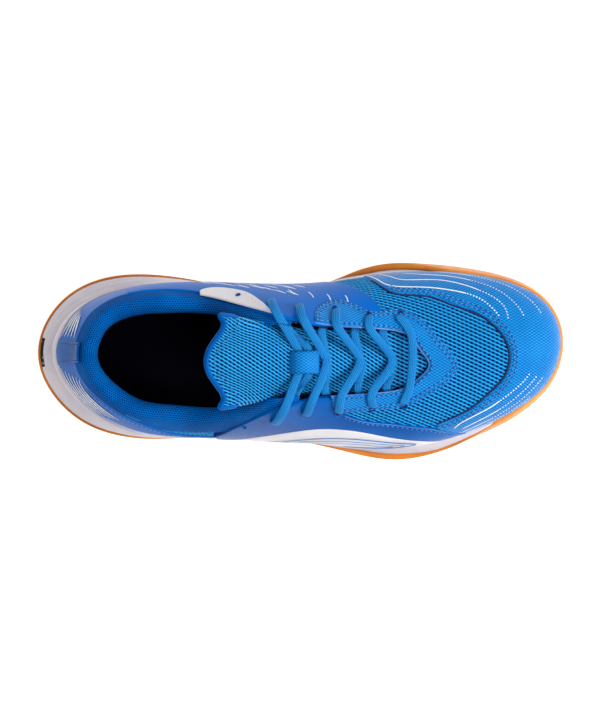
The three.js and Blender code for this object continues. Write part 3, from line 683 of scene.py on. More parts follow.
def fading_finish(name, high, low):
    """Smooth film whose print fades towards the sole; the shade attribute holds each point's t."""
    finish = blue_finish(name, 0.4, 0.12)
    height = finish.value("ShaderNodeAttribute", output="Fac", attribute_name="shade")
    finish.bump(finish.noise(1.2, 4.0), 0.02)
    share = finish.ramp(height - finish.noise(0.08) * 0.2, -0.05, 0.3)
    return finish.done(finish.mix(share, low, high))


def knit_finish(name, light, dark, pitch):
    """Fine dotted knit of the collar, its small sunken holes darkened with painted shade."""
    finish = blue_finish(name, 0.8, 0.12)
    p, q = finish.flat()
    rows = q / (pitch * 0.85)
    odd = rows.math("FLOOR").math("FLOORED_MODULO", 2.0) * 0.5
    x, y = centred(p / pitch + odd), centred(rows)
    dot = finish.ramp((x * x + y * y).math("SQRT"), 0.18, 0.44, 1.0, 0.0)
    finish.bump(dot * -1 + 1, 0.22)
    # painted shade: each sunken hole takes the dark colour
    tone = finish.mix(dot, light, dark)
    tone = finish.mix(finish.ramp(finish.noise(0.05), 0.35, 0.65, 0.0, 0.3), tone, dark)
    return finish.done(tone)


def braid_finish(name, light, dark):
    """Lace braid: rows of V-shaped stitches along the lace, with a painted highlight on the raised stitches
    and painted shade in the grooves between them.
    """
    finish = blue_finish(name, 0.55, 0.2)
    p, q = finish.flat()
    cell = abs(centred(q / 0.95))
    wave = finish.ramp(sin((p / 0.8 + cell * 1.6) * TURN), -0.9, 0.7)
    high = (wave * 0.6 + 0.4) * finish.ramp(cell, 0.30, 0.5, 1.0, 0.0)
    finish.bump(high, 0.16)
    # painted highlight and shade: raised stitches take the light colour, grooves the dark one
    return finish.done(finish.mix(high, dark, light))


def moulded_finish(name, light, dark, roughness, grain=0.05, scale=0.9, **sockets):
    """Moulded foam or rubber: soft cloudy colour and a fine skin grain."""
    finish = Finish(name, roughness, **sockets)
    tone = finish.mix(finish.ramp(finish.noise(0.03, 3.0), 0.3, 0.7), light, dark)
    speck = finish.noise(scale, 4.0)
    tone = finish.mix(finish.ramp(speck, 0.3, 0.75, 0.0, 0.2), tone, dark)
    finish.bump(speck, grain)
    rough = finish.ramp(finish.noise(0.3, 3.0), 0.2, 0.8, roughness - 0.06, roughness + 0.08)
    return finish.done(tone, rough)


def cloth_finish(name, light, dark, pitch=0.7):
    """Plain woven textile."""
    finish = Finish(name, 0.95, Specular_IOR_Level=0.08)
    a, b = (sin(axis * (TURN / pitch)) for axis in finish.plan(finish.place()))
    weave = finish.ramp(a * b, -1.0, 1.0)
    finish.bump(weave, 0.12)
    return finish.done(finish.mix(weave, dark, light))


# each net: thread colour, painted shade of the holes, painted highlight of the threads
net_blue = net_finish("net_blue", (0, 122, 204), (0, 12, 78), (56, 182, 242))
tongue_net = net_finish("tongue_net", (0, 122, 204), (0, 10, 74), (66, 190, 244))
# the emboss film's dark colour is also its painted shade between the dots
film_blue = film_finish("film_blue", (30, 138, 208), (0, 88, 168))
smooth_blue = film_finish("smooth_blue", (0, 94, 176), (0, 72, 150), emboss=False)
heel_blue = fading_finish("heel_blue", (0, 94, 184), (96, 126, 200))
# the knit's dark colour is the painted shade in its holes and the tone of its darker patches
knit_blue = knit_finish("knit_blue", (6, 108, 198), (0, 18, 84), 1.5)
# the braid's light colour is its painted highlight, its dark colour its painted shade
braid_blue = braid_finish("braid_blue", (44, 154, 226), (0, 62, 150))
film_white = moulded_finish("film_white", (224, 222, 226), (208, 206, 214), 0.42, 0.02, 0.6)
foam_white = moulded_finish("foam_white", (212, 205, 214), (190, 183, 198), 0.5, 0.05, 1.4)
gum_rubber = moulded_finish("gum_rubber", (230, 144, 52), (206, 114, 30), 0.42, 0.04, 0.8)
# dark cord colour: the toe cap's piping with painted shade of the cap's raised edge
piping_and_shade_blue = moulded_finish("piping_and_shade_blue", (0, 34, 96), (0, 20, 66), 0.5, 0.03, 3.0)
cut_edge = moulded_finish("cut_edge", (110, 144, 206), (40, 100, 180), 0.6, 0.03, 3.0)
navy_cloth = cloth_finish("navy_cloth", (3, 3, 20), (1, 1, 8))
base_blue = cloth_finish("base_blue", (6, 60, 140), (2, 24, 80), 1.0)
stiff_board = moulded_finish("stiff_board", (232, 230, 226), (214, 210, 204), 0.7, 0.05, 1.0)
plain_foam = moulded_finish("plain_foam", (236, 234, 238), (220, 216, 222), 0.85, 0.12, 1.6)
thread_blue = moulded_finish("thread_blue", (74, 158, 228), (40, 122, 206), 0.55, 0.05, 4.0)
# painted shade: the dark strips under the seams and the discs in the eyelet holes
painted_shade_navy = moulded_finish("painted_shade_navy", (6, 40, 110), (2, 20, 70), 0.7, 0.02, 4.0)
print_white = moulded_finish("print_white", (238, 240, 246), (220, 226, 240), 0.4, 0.01, 2.0)
print_blue = moulded_finish("print_blue", (60, 130, 205), (40, 104, 186), 0.45, 0.01, 2.0)
tip_plastic = moulded_finish("tip_plastic", (236, 240, 246), (214, 220, 232), 0.25, 0.01, 0.6,
                             Coat_Weight=0.3)


# ---- the sole ------------------------------------------------------------------------------------

def ground(x):
    """The height of the sole's underside: it curls up at the toe and a little at the heel."""
    toe = np.maximum(0, (x - 72) / 78)
    heel = np.maximum(0, (-118 - x) / 32)
    return 8 * toe * toe + 3 * heel * heel


def footbed(x):
    fall = (BALL_FOOTBED - HEEL_FOOTBED) * smooth(-75, 55, x)
    return HEEL_FOOTBED + fall + 0.9 * ground(np.maximum(0, x))


def plan_normal(u):
    along = station(u + 0.02)[..., 0:2] - station(u - 0.02)[..., 0:2]
    return norm(np.stack([-along[..., 1], along[..., 0], np.zeros(along.shape[:-1])], -1))


def wall(u, w, inset):
    """The side of the sole: w runs from 0 at the ground to 1 at the feather line."""
    u, w, inset = np.broadcast_arrays(*(np.asarray(v, float) for v in (u, w, inset)))
    row = station(u)
    normal = plan_normal(u)
    flare = row[..., 10]
    edge = ground(row[..., 0] + normal[..., 0] * flare)
    parts = [(1 - w) ** 3, 3 * (1 - w) ** 2 * w, 3 * (1 - w) * w * w, w ** 3]
    distance = sum(p * v for p, v in zip(parts, (flare - 3, flare + 2, flare * 0.5 + 2.5, 2.2))) - inset
    point = row[..., 0:3] + normal * distance[..., None]
    point[..., 2] = sum(p * v for p, v in zip(parts, (edge, edge + 7, row[..., 2] - 9, row[..., 2] - 0.5)))
    return point


def drawn_in(point, share, level):
    """A ring shrunk towards the middle line of the sole and laid at a level."""
    x = np.clip(point[..., 0], -112, 112)
    y = np.maximum(0, (x - 40) * 0.09)
    moved = np.stack([x + (point[..., 0] - x) * share, y + (point[..., 1] - y) * share, point[..., 2]], -1)
    moved[..., 2] = level(moved[..., 0])
    return moved


def tuck_depth(u, above=0.0):
    """The t at which the upper's tucked edge meets the footbed, or a height above it."""
    row = station(u)
    return -(row[..., 2] - footbed(row[..., 0]) - above) / TUCK_HEIGHT


ROUND = np.linspace(0, LAPS, LAPS * 9, endpoint=False)
SHARES = (0.03, 0.2, 0.4, 0.6, 0.8, 0.9)


def stacked(name, rings, finish, **kind):
    """A body made of rings round the shoe, one above the other, closed at both ends."""
    rings = np.stack(rings)
    count = rings.shape[1]
    mesh_piece(name, rings, tube_faces(len(rings), count), finish, uv=rings[..., :2], **kind)


GUM_SHARE = [(0, 0.3), (6, 0.3), (7.5, 0.34), (8.5, 0.5), (9.3, 0.72), (10, 0.97), (11, 1), (16.6, 1),
             (17.3, 0.95), (17.9, 0.75), (18.6, 0.55), (19.6, 0.4), (21, 0.32), (22.5, 0.3), (29, 0.3)]


def gum_share(u):
    return np.interp(u % LAPS, *zip(*GUM_SHARE))


def gum_lip(u):
    """How far the gum stands out past the foam at its upper edge."""
    return 1.5 - 1.1 * smooth(0.5, 0.9, gum_share(u))


def foam_inset(u):
    """How far the foam stands back from the gum at the ball of the foot."""
    u = u % LAPS
    medial = smooth(7.2, 8.2, u) * (1 - smooth(9.7, 10.2, u))
    lateral = smooth(18.9, 20.0, u) * (1 - smooth(20.8, 21.8, u))
    return 2.2 * medial + 1.7 * lateral


def outsole():
    top = lambda x: ground(x) + GUM
    low = lambda x: ground(x) + 1.6
    u = ROUND
    side = ((1, 0.7), (0.97, 1), (0.9, 1), (0.75, 0.8), (0.55, 0.5), (0.4, 0.3),
            (0.22, 0), (0.1, 0), (0.03, 0))
    edge = [wall(u, gum_share(u) * s, -gum_lip(u) * proud) for s, proud in side]
    lip = [wall(u, gum_share(u) * s, GUM_WALL) for s in (0.3, 0.75, 0.97)]
    rings = [drawn_in(wall(u, 0, GUM_WALL), s, top) for s in SHARES] + lip
    rings += [wall(u, gum_share(u), GUM_WALL * 0.6), wall(u, gum_share(u) * 1.01, 0.2)] + edge
    foot = wall(u, 0, 0)
    rings += [drawn_in(foot, 1, ground), drawn_in(foot, 0.95, ground)]
    rings += [drawn_in(foot, s, low) for s in (0.93, *reversed(SHARES))]
    stacked("outsole_gum", rings, gum_rubber, replaces=["outsole"], slot="gum")


def inside(points, outline):
    """Which points of the plan lie inside a closed outline."""
    x, y = points[:, 0:1], points[:, 1:2]
    x0, y0 = outline[:, 0], outline[:, 1]
    x1, y1 = np.roll(x0, -1), np.roll(y0, -1)
    crossing = ((y0 > y) != (y1 > y)) & (x < (x1 - x0) * (y - y0) / (y1 - y0 + 1e-12) + x0)
    return crossing.sum(1) % 2 == 1


def tread():
    """Herringbone bars under the outsole, with a round pivot under the ball and a bare waist."""
    outline = drawn_in(wall(ROUND, 0, 0), 0.9, ground)[:, :2]
    box = np.array([(-1, -1, 0), (1, -1, 0), (1, 1, 0), (-1, 1, 0), (-0.8, -0.75, 1), (0.8, -0.75, 1),
                    (0.8, 0.75, 1), (-0.8, 0.75, 1)], float)
    sides = np.array([(0, 1, 5, 4), (1, 2, 6, 5), (2, 3, 7, 6), (3, 0, 4, 7), (4, 5, 6, 7), (3, 2, 1, 0)])
    points, faces, start = [], [], 0
    for x in np.arange(-128, 140, 5.2):
        for index, y in enumerate(np.arange(-52, 57, 6.4)):
            angle = math.radians(45 if index % 2 else -45)
            half = np.array([4.2, 1.15])
            turn = np.array([(math.cos(angle), -math.sin(angle)), (math.sin(angle), math.cos(angle))])
            corners = (box[:, :2] * half) @ turn.T + (x, y)
            on_pivot = np.hypot(*(corners - PIVOT).T).min() < PIVOT_REACH
            if WAIST[0] < x < WAIST[1] or on_pivot or not inside(corners, outline).all():
                continue
            height = np.where(box[:, 2] > 0, 0.0, 1.7)
            points.append(np.column_stack([corners, ground(corners[:, 0]) + height]))
            faces.append(sides + start)
            start += len(box)
    for radius in (7.0, 11.5, 16.0):
        angle = circle(72)
        section = [(-1.1, 1.7), (-0.8, 0.0), (0.8, 0.0), (1.1, 1.7)]
        rows = []
        for a in angle:
            for grow, lift in section:
                x, y = PIVOT + (radius + grow) * np.array([math.cos(a), math.sin(a)])
                rows.append((x, y, ground(x) + lift))
        points.append(np.array(rows))
        faces.append(quads(len(angle), len(section), True, True) + start)
        start += len(rows)
    return mesh_piece("outsole_tread", np.vstack(points), np.vstack(faces), gum_rubber, slot="gum")


def flutes(u, w):
    """Shallow sculpted channels in the midsole's side."""
    phase = 0.5 + 0.12 * np.sin(u * 2 * np.pi / LAPS * 3)
    first = np.exp(-((w - phase) / 0.035) ** 2)
    second = np.exp(-((w - phase - 0.2) / 0.03) ** 2)
    return (0.7 * first + 0.5 * second) * (0.3 + 0.7 * smooth(1, 6, u) * (1 - smooth(23, 28, u)))


def midsole():
    bottom = lambda x: ground(x) + GUM + GAP
    inset = GUM_WALL + GAP
    u = ROUND
    ledge = np.minimum(gum_share(u) + 0.02, 0.97)
    hidden = 2.7 * smooth(0.9, 1.0, gum_share(u)) + foam_inset(u)
    cradle = 0.37 * (1 - smooth(0.9, 4.5, u) + smooth(24.5, 28, u))
    rings = [drawn_in(wall(u, 0, inset), s, bottom) for s in (*SHARES, 1)]
    rings += [wall(u, gum_share(u) * 0.75, inset), wall(u, ledge, inset)]
    for s in (0, 0.02, *np.linspace(0.05, 0.97, 24), 0.99):
        w = ledge + (1 - ledge) * s
        rings.append(wall(u, w, flutes(u, w) * smooth(0, 0.15, s) * smooth(1, 0.8, s) + hidden))
    lip = ((0.25, 2.1), (0.5, 2.0), (0.75, 1.9), (0.95, 1.8),
           (1.0, 1.4), (1.01, 0.9), (1.0, 0.5), (0.5, 0.5))
    for s, thick in lip:
        rings.append(place(u, cradle * s, thick - 0.45 * np.minimum(hidden, 2.7) * (thick > 1)))
    rings += [place(u, 0.0, 0.5), place(u, tuck_depth(u) / 2, 0.5)]
    bed = place(u, tuck_depth(u), 0.5)
    rings += [drawn_in(bed, s, footbed) for s in (1, *reversed(SHARES))]
    stacked("midsole_foam", rings, foam_white, replaces=["midsole"], slot="foam")


def bed_plate(name, low, high, finish, **kind):
    """A layer of the footbed, between two heights above the bed inside the upper."""
    u = ROUND
    edge = place(u, tuck_depth(u, low), BED_RIM)
    shares = (*SHARES, 0.96, 0.985)
    rings = [drawn_in(edge, s, lambda x: footbed(x) + low) for s in shares]
    rings += [drawn_in(edge, 1, lambda x: footbed(x) + (low + high) / 2)]
    rings += [drawn_in(edge, s, lambda x: footbed(x) + high) for s in reversed(shares)]
    stacked(name, rings, finish, **kind)


# ---- lines that bound the panels, as (u, t) pairs -------------------------------------------------

TOE_CAP_EDGE = [(7.95, 0.06), (8.19, 0.33), (8.69, 0.52), (9.06, 0.59), (9.94, 0.6), (10.81, 0.64),
                (11.81, 0.63), (13, 0.62), (14.62, 0.59), (15.56, 0.58), (16.5, 0.58), (17.69, 0.53),
                (18.62, 0.5), (18.75, 0.3), (18.8, 0.06)]
TOE_CAP_FOOT = [(7.95, 0.0), (10, 0.0), (14.5, 0.0), (18.8, 0.0)]
STAY_EDGE = [(6.94, 0.96), (6.86, 0.84), (7.0, 0.72), (7.38, 0.66), (7.94, 0.72), (8.62, 0.81),
             (9.38, 0.78), (9.88, 0.81), (10.5, 0.85), (11.75, 0.9), (13.2, 0.895), (14.4, 0.87),
             (15.1, 0.855), (15.9, 0.865), (16.8, 0.87), (17.62, 0.87), (18.69, 0.83), (19.31, 0.81),
             (20.56, 0.8), (21.25, 0.78), (21.4, 0.88)]
STAY_TOP = [(6.96, 0.97), (8.5, 0.99), (9.6, 0.995), (10.5, 1.0), (11.5, 1.015), (12.5, 1.015),
            (13.6, 1.0), (14.5, 0.995), (15.3, 1.0), (16.4, 1.015), (17.6, 1.01), (19, 0.99), (20, 0.99),
            (21.4, 0.99)]
QUARTER_FOOT = [(18.1, 0.02), (19, 0.0), (20.5, 0.0), (22, 0.0), (23.9, 0.0)]
QUARTER_EDGE = [(18.1, 0.08), (18.31, 0.18), (18.55, 0.34), (18.85, 0.47), (19.75, 0.61), (20.69, 0.68),
                (21.15, 0.76), (21.3, 0.95), (22.2, 0.985), (23.0, 0.97), (23.5, 0.8), (23.9, 0.5)]


def panels():
    """The films and panels sewn over the base textile."""
    panel("toe_cap_film", TOE_CAP_FOOT, TOE_CAP_EDGE, film_blue,
          replaces=["toe_cap"], slot="film", step=1.3)
    panel("eyestay_film", STAY_EDGE, STAY_TOP, film_blue,
          replaces=["eyestay"], slot="film", outer=STAY_FACE, step=1.3)
    panel("medial_quarter_film",
          [(2.9, 0.02), (5, 0.02), (6.55, 0.04), (6.81, 0.18), (7.44, 0.38), (8.25, 0.59), (8.94, 0.8)],
          [(2.9, 0.8), (4, 0.8), (4.9, 0.9), (5.6, 0.98), (6.4, 0.985), (7.4, 0.98), (8.94, 0.84)],
          heel_blue, replaces=["medial_quarter"], slot="film")
    panel("lateral_quarter_film", QUARTER_FOOT, QUARTER_EDGE, smooth_blue,
          replaces=["lateral_quarter"], slot="film", outer=QUARTER_FACE)
    panel("heel_film_wrap",
          [(23.8, 0.0), (26, 0.0), (29, 0.0), (32, 0.0)],
          [(23.8, 0.4), (24.7, 0.54), (25.5, 0.76), (26.1, 0.86), (29, 0.86), (31, 0.84), (32, 0.8)],
          heel_blue, replaces=["heel_film"], slot="film", outer=HEEL_FACE)
    panel("medial_patch_film",
          [(4.42, 0.9), (4.46, 0.76), (4.8, 0.64), (5.25, 0.66), (5.62, 0.8), (5.95, 0.97)],
          [(4.42, 0.91), (4.7, 0.93), (5.1, 0.955), (5.4, 0.965), (5.7, 0.975), (5.95, 0.98)],
          film_white, replaces=["medial_patch"], slot="white_film",
          inner=PATCH_FOOT, outer=1.9, rim=PATCH_RIM)
    panel("lateral_patch_film",
          [(18.95, 0.05), (20, 0.0), (22, 0.0), (23.9, 0.02)],
          [(18.95, 0.1), (19.38, 0.27), (20.3, 0.45), (21.1, 0.55), (22, 0.57), (23, 0.48), (23.9, 0.16)],
          film_white, replaces=["lateral_patch"], slot="white_film",
          inner=PATCH_FOOT, outer=1.8, rim=PATCH_RIM)
    panel("heel_strip_film", *([(u, 0.36), (u, 0.5), (u, 0.99)] for u in (28.62, 29.38)), smooth_blue,
          replaces=["heel_strip"], slot="film", inner=0.6, outer=STRIP_FACE, rim=0.7)


def net(name, low, high, finish, depth=0.75, **kind):
    """A sheet of net between two lines, with its holes pressed in."""
    count = 400
    low, high = (on_skin(line, count) for line in (low, high))
    length = arc(skin(*((low + high) / 2).T))[-1]
    width = np.linalg.norm(skin(*low.T) - skin(*high.T), axis=1)
    rows = int(length / NET_STEP)
    columns = int(np.percentile(width, 85) / NET_STEP)
    index = np.linspace(0, 1, count)
    low, high = (sampled(np.linspace(0, 1, rows), index, line) for line in (low, high))
    across = np.linspace(0, 1, columns)
    grid = low[:, None] + (high - low)[:, None] * across[None, :, None]
    u, t = grid[..., 0], grid[..., 1]
    flat = pattern(u, t)
    height = NET_FACE - depth * net_depth(flat[..., 0], flat[..., 1])
    height[[0, -1]] = NET_FOOT
    height[:, [0, -1]] = NET_FOOT
    mesh_piece(name, place(u, t, height), quads(rows, columns), finish, uv=flat, **kind)


def upper():
    """The base textile and the lining right round the shoe, and the net over the vamp."""
    u = ROUND[:, None]
    wrapped = u % LAPS
    ankle = (wrapped <= COLLAR_MEDIAL) | (wrapped >= COLLAR_LATERAL)
    bottom = tuck_depth(u, 2.2)
    s = np.linspace(0, 1, 40)[None, :]
    for name, top, offsets, finish, node in (
            ("upper_base", np.where(ankle, 0.84, 0.985), (-0.35, -1.1), base_blue, "mesh_upper"),
            ("upper_lining", np.where(ankle, 0.42, 0.975), (-3.6, -4.2), navy_cloth, "lining")):
        t = bottom + (top - bottom) * s
        uu = np.broadcast_to(u, t.shape)
        outer, inner = (place(uu, t, offset) for offset in offsets)
        slot = "mesh" if node == "mesh_upper" else "lining"
        sheet(name, outer, inner, pattern(uu, t), finish, wrap=True, replaces=[node], slot=slot)
    net("vamp_net",
        [(6.4, 0.02), (7.6, 0.02), (8.3, 0.28), (8.9, 0.5), (10, 0.55), (11.5, 0.58), (13, 0.57),
         (14.6, 0.54), (16, 0.53), (17.6, 0.48), (18.7, 0.4), (19.6, 0.5), (20.6, 0.6), (21.3, 0.7)],
        [(6.9, 0.5), (7.6, 0.7), (8.4, 0.82), (9.3, 0.84), (10.4, 0.9), (11.7, 0.94), (13.2, 0.94),
         (14.9, 0.92), (16.4, 0.92), (17.6, 0.91), (18.8, 0.88), (19.8, 0.86), (20.7, 0.85), (21.3, 0.82)],
        net_blue, slot="mesh")


def collar_roll():
    """The padded roll round the foot entry, fading out at both ends."""
    start, end = COLLAR_LATERAL, LAPS + COLLAR_MEDIAL
    u = np.linspace(start - 0.75, end + 0.9, 440)
    swell = smooth(start, start + 2, u) * (1 - smooth(end - 2, end, u))
    thick = (5 + 4.5 * swell)[:, None]
    fade = smooth(start - 0.75, start, u) * (1 - smooth(end + 0.3, end + 0.9, u))
    fade = np.clip(fade, 0.3, 1)[:, None]
    # the roll's section, from the outside over the top and down inside: t, depth, share of thickness
    t, shallow, share = np.array([
        (0.6, 0.4, 0), (0.74, 0.5, 0), (0.84, 0.55, 0), (0.93, 0.3, 0), (0.99, -0.4, 0), (1.03, -1.4, 0),
        (1.055, -2.6, 0.12), (1.05, -2.6, 0.45), (1.02, -2.2, 0.75), (0.96, -1.6, 0.95), (0.88, -1.0, 1.06),
        (0.76, -0.9, 1.1), (0.62, -1.2, 1.0), (0.5, -1.8, 0.75), (0.4, -2.2, 0.5), (0.34, -2.4, 0.25)]).T
    s = np.linspace(0, len(t) - 1, 64)
    t, shallow, share = (np.interp(s, range(len(v)), v) for v in (t, shallow, share))
    kernel = np.ones(5) / 5
    t, shallow, share = (np.convolve(np.pad(v, 2, "edge"), kernel, "valid") for v in (t, shallow, share))
    depth = (shallow[None] - share[None] * thick) * fade
    tt = np.broadcast_to(t, depth.shape)
    uu = np.broadcast_to(u[:, None], depth.shape)
    outer = place(uu, tt, depth)
    distance = np.cumsum(np.linalg.norm(np.diff(outer, axis=1, prepend=outer[:, :1]), axis=-1), axis=1)
    along = arc(skin(u, np.ones(len(u))))[:, None] + 0 * distance
    normals = norm(np.cross(np.gradient(outer, axis=1), np.gradient(outer, axis=0)))
    inner = outer - normals * 0.8
    piece = sheet("collar_roll", outer, inner, np.stack([along, distance], -1), knit_blue,
                  replaces=["collar_cover"], slot="knit")


# ---- the tongue ----------------------------------------------------------------------------------

def tongue_row(row):
    """Values along the tongue on a Catmull-Rom curve through its rows."""
    padded = np.vstack([2 * TONGUE[0] - TONGUE[1], TONGUE, 2 * TONGUE[-1] - TONGUE[-2]])
    row = np.clip(np.asarray(row, float), 0, TONGUE_END - 1e-9)
    i = row.astype(int)
    f = (row - i)[..., None]
    p0, p1, p2, p3 = (padded[i + k] for k in range(4))
    return 0.5 * (2 * p1 + (p2 - p0) * f + (2 * p0 - 5 * p1 + 4 * p2 - p3) * f ** 2
                  + (3 * p1 - p0 - 3 * p2 + p3) * f ** 3)


def tongue_point(row, v, depth):
    row, v, depth = np.broadcast_arrays(*(np.asarray(a, float) for a in (row, v, depth)))
    here = tongue_row(row)
    before, after = tongue_row(np.maximum(0, row - 0.2)), tongue_row(np.minimum(TONGUE_END, row + 0.2))
    step = after - before
    tilt = norm(np.stack([step[..., 2], 0 * row, -step[..., 0]], -1))
    x, y, z, half, drop = (here[..., i] for i in range(5))
    point = np.stack([x, y + v * half, z - drop * v * v], -1)
    return point + tilt * depth[..., None]


def tip_back(v):
    """How far the bound end of the tongue lies in front of its tip, in rows: it bulges in the middle."""
    v = np.abs(v)
    return 0.5 + 1.25 * smooth(0.0, 0.82, v) - 0.22 * smooth(0.82, 1.0, v)


def tongue():
    rows, columns = 330, 118
    v = np.linspace(-1, 1, columns)[None, :]
    share = np.linspace(0, 1, rows)[:, None]
    row = share * (TONGUE_END - tip_back(v) * smooth(0.55, 1.0, share))
    wide = 1 + 0.2 * np.exp(-((row - 6.2) / 1.5) ** 2) - 0.05 * smooth(8, 10, row)
    v = v * wide
    top = tongue_point(row, v, 0.0)
    along = arc(tongue_point(np.linspace(0, TONGUE_END, 300), 0.0, 0.0))
    p = -np.interp(row, np.linspace(0, TONGUE_END, 300), along)
    q = np.cumsum(np.linalg.norm(np.diff(top, axis=1, prepend=top[:, :1]), axis=-1), axis=1)
    q = q - q[:, columns // 2:columns // 2 + 1] + 0.12 * p
    half = tongue_row(row)[..., 3]
    rim = (wide - np.abs(v)) * half
    length = np.interp(TONGUE_END - tip_back(v / wide), np.linspace(0, TONGUE_END, 300), along)
    rim = np.minimum(rim, np.maximum(0, length + p))
    fall = 1 - np.sqrt(1 - (1 - np.clip(rim / 2.6, 0, 1)) ** 2)
    crown = 0.8 * smooth(0, 12, rim)
    pressed = net_depth(p, q) * smooth(3.4, 4.2, rim)
    depth = crown - 2.2 * fall - 0.7 * pressed
    outer = tongue_point(row, v, depth)
    inner = tongue_point(row, v, TONGUE_THICKNESS * (fall / 2 - 1))
    piece = sheet("tongue_padded", outer, inner, np.stack([p, q], -1), tongue_net, body=None,
                  replaces=["tongue_base_face", "tongue_base_foam", "tongue_flap_face", "tongue_flap_foam"],
                  slot="mesh")
    piece.data.materials.append(navy_cloth)
    count = (rows - 1) * (columns - 1)
    slots = np.zeros(len(piece.data.polygons), int)
    slots[count:2 * count] = 1
    piece.data.polygons.foreach_set("material_index", slots)
    joint = (tongue_point(HINGE_ROW, 0.0, HINGE_DEPTH) + SHIFT) * MM
    tuple(joint - HINGE_SLOPE)
    tuple(joint + HINGE_SLOPE)
    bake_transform(piece)


def tongue_front():
    """The padded net that closes the front of the throat ahead of the tongue's first row."""
    s = np.linspace(0, 1, 64)[:, None]
    c = np.linspace(0, 1, 72)[None, :]
    left = place(14.4 - 4.9 * s, 1.0 + 0 * s, -1.6 - 2.0 * s)
    right = place(14.4 + 4.4 * s, 1.0 + 0 * s, -1.6 - 2.0 * s)
    grid = left * (1 - c[..., None]) + right * c[..., None]
    p, q = grid[..., 0], grid[..., 1]
    grid[..., 2] += 1.6 * np.sin(np.pi * c) - 0.8 * net_depth(p, q)
    sheet("tongue_front_net", grid, grid - (0, 0, 2.0), np.stack([p, q], -1), tongue_net, slot="mesh")


def tongue_binding():
    """The bound edge: up one side of the free end, round its tip and down the other."""
    v = np.linspace(-1, 1, 60)
    side = np.linspace(BINDING_ROW, TONGUE_END - tip_back(1.0), 24)
    tip = np.stack([TONGUE_END - tip_back(v), v], 1)[1:-1]
    left, right = (np.stack([side, np.full(len(side), edge)], 1) for edge in (-1.0, 1.0))
    line = np.vstack([left, tip, right[::-1]])
    path = tongue_point(line[:, 0], line[:, 1] * 0.955, -1.1)
    path = respaced(path, 220)
    for _ in range(4):
        path[1:-1] = (path[:-2] + 2 * path[1:-1] + path[2:]) / 4
    tube("tongue_edge", path, BINDING_RADIUS, smooth_blue, sides=14, squash=0.9, body="tongue_tip",
         replaces=["tongue_binding"], slot="film")


def keeper():
    """The strap over the tongue that holds the last crossing of the lace."""
    reach = np.array([(4.93, 0.3), (4.97, 2.2), (5.05, 4.2), (5.25, 5.9), (5.5, 6.4), (5.75, 5.9),
                      (5.93, 4.2), (6.0, 2.2), (6.03, 0.3)])
    line = spline(reach * (12, 1), 60) / (12, 1)
    v = np.linspace(-1, 1, 22)
    half_width, rounding = 6.2, 0.8
    edge = np.minimum(1, (1 - np.abs(v)) * half_width / rounding)
    fall = 1 - np.sqrt(1 - (1 - edge) ** 2)
    grid = [tongue_point(line[:, 0:1], v[None] * 0.33, line[:, 1:2] + thick * (1 - 0.8 * fall[None]))
            for thick in (1.1, 0.0)]
    along = arc(grid[0][:, 11])[:, None] + 0 * v[None]
    flat = np.stack([along, 0 * along + v[None] * half_width], -1)
    sheet("keeper_strap", *grid, flat, film_blue, replaces=["lace_keeper"], slot="film")


# ---- the lace ------------------------------------------------------------------------------------

def across_from(a, b):
    side = np.array([a[1] - b[1], b[0] - a[0], 0.0])
    return side / np.linalg.norm(side)


def through(eyelet, side):
    """Down through an eyelet: above it, in it and below it."""
    u, t = eyelet
    return [(place(u, t + 0.03 * np.sign(offset), offset), side) for offset in (LACE_OVER, 0.0, LACE_UNDER)]


def tongue_top(x, y):
    """The height of the tongue's face at a place in the plan."""
    rows = np.linspace(0, TONGUE_END, 400)
    values = tongue_row(rows)
    here = values[np.argmax(values[:, 0] <= x)]
    return here[2] - here[4] * ((y - here[1]) / here[3]) ** 2


def strand(side, lift):
    """The stops of one half of the lace, crossing the throat four times from its first eyelet."""
    stops = []
    for row in range(4):
        near = side if row % 2 == 0 else OTHER[side]
        far = OTHER[near]
        start, finish = EYELETS[near][row], EYELETS[far][row + 1]
        a, b = skin(*start), skin(*finish)
        raised = lift if far == "lateral" else 0.0
        inward = np.sign(a[1])
        plain = [(a[0] * 0.72 + b[0] * 0.28, -1.0)]
        kept = [(KEEPER_X + x, y * inward - 1) for x, y in KEEPER_STOPS]
        lean = -0.15 * inward
        under, over = place(*start, LACE_UNDER), place(*finish, LACE_OVER)
        width = across_from(under, over)
        edge = place(start[0] + lean, 1.0, LACE_EDGE)
        stops.append((edge, width))
        middles = kept if row == 3 else plain
        x, y = edge[:2] * 0.5 + np.array(middles[0]) * 0.5
        stops.append((np.array([x, y, tongue_top(x, y) + LACE_REST + 0.5 * raised]), width))
        for x, y in middles:
            stops.append((np.array([x, y, tongue_top(x, y) + LACE_REST + raised]), width))
        stops.append((place(finish[0] + lean, 1.0, LACE_OVER + 0.2), width))
        stops.extend(through(finish, width))
    return stops


def lace_stops():
    medial, lateral = EYELETS["medial"][0], EYELETS["lateral"][0]
    width = across_from(skin(*medial), skin(*lateral))
    bar = through(medial, width)[::-1]
    bar += [(place(u, 1.0, LACE_OVER + 0.3), width) for u in BAR]
    bar += through(lateral, width)
    return strand("medial", LACE_LIFT)[::-1] + bar + strand("lateral", LACE_LIFT)


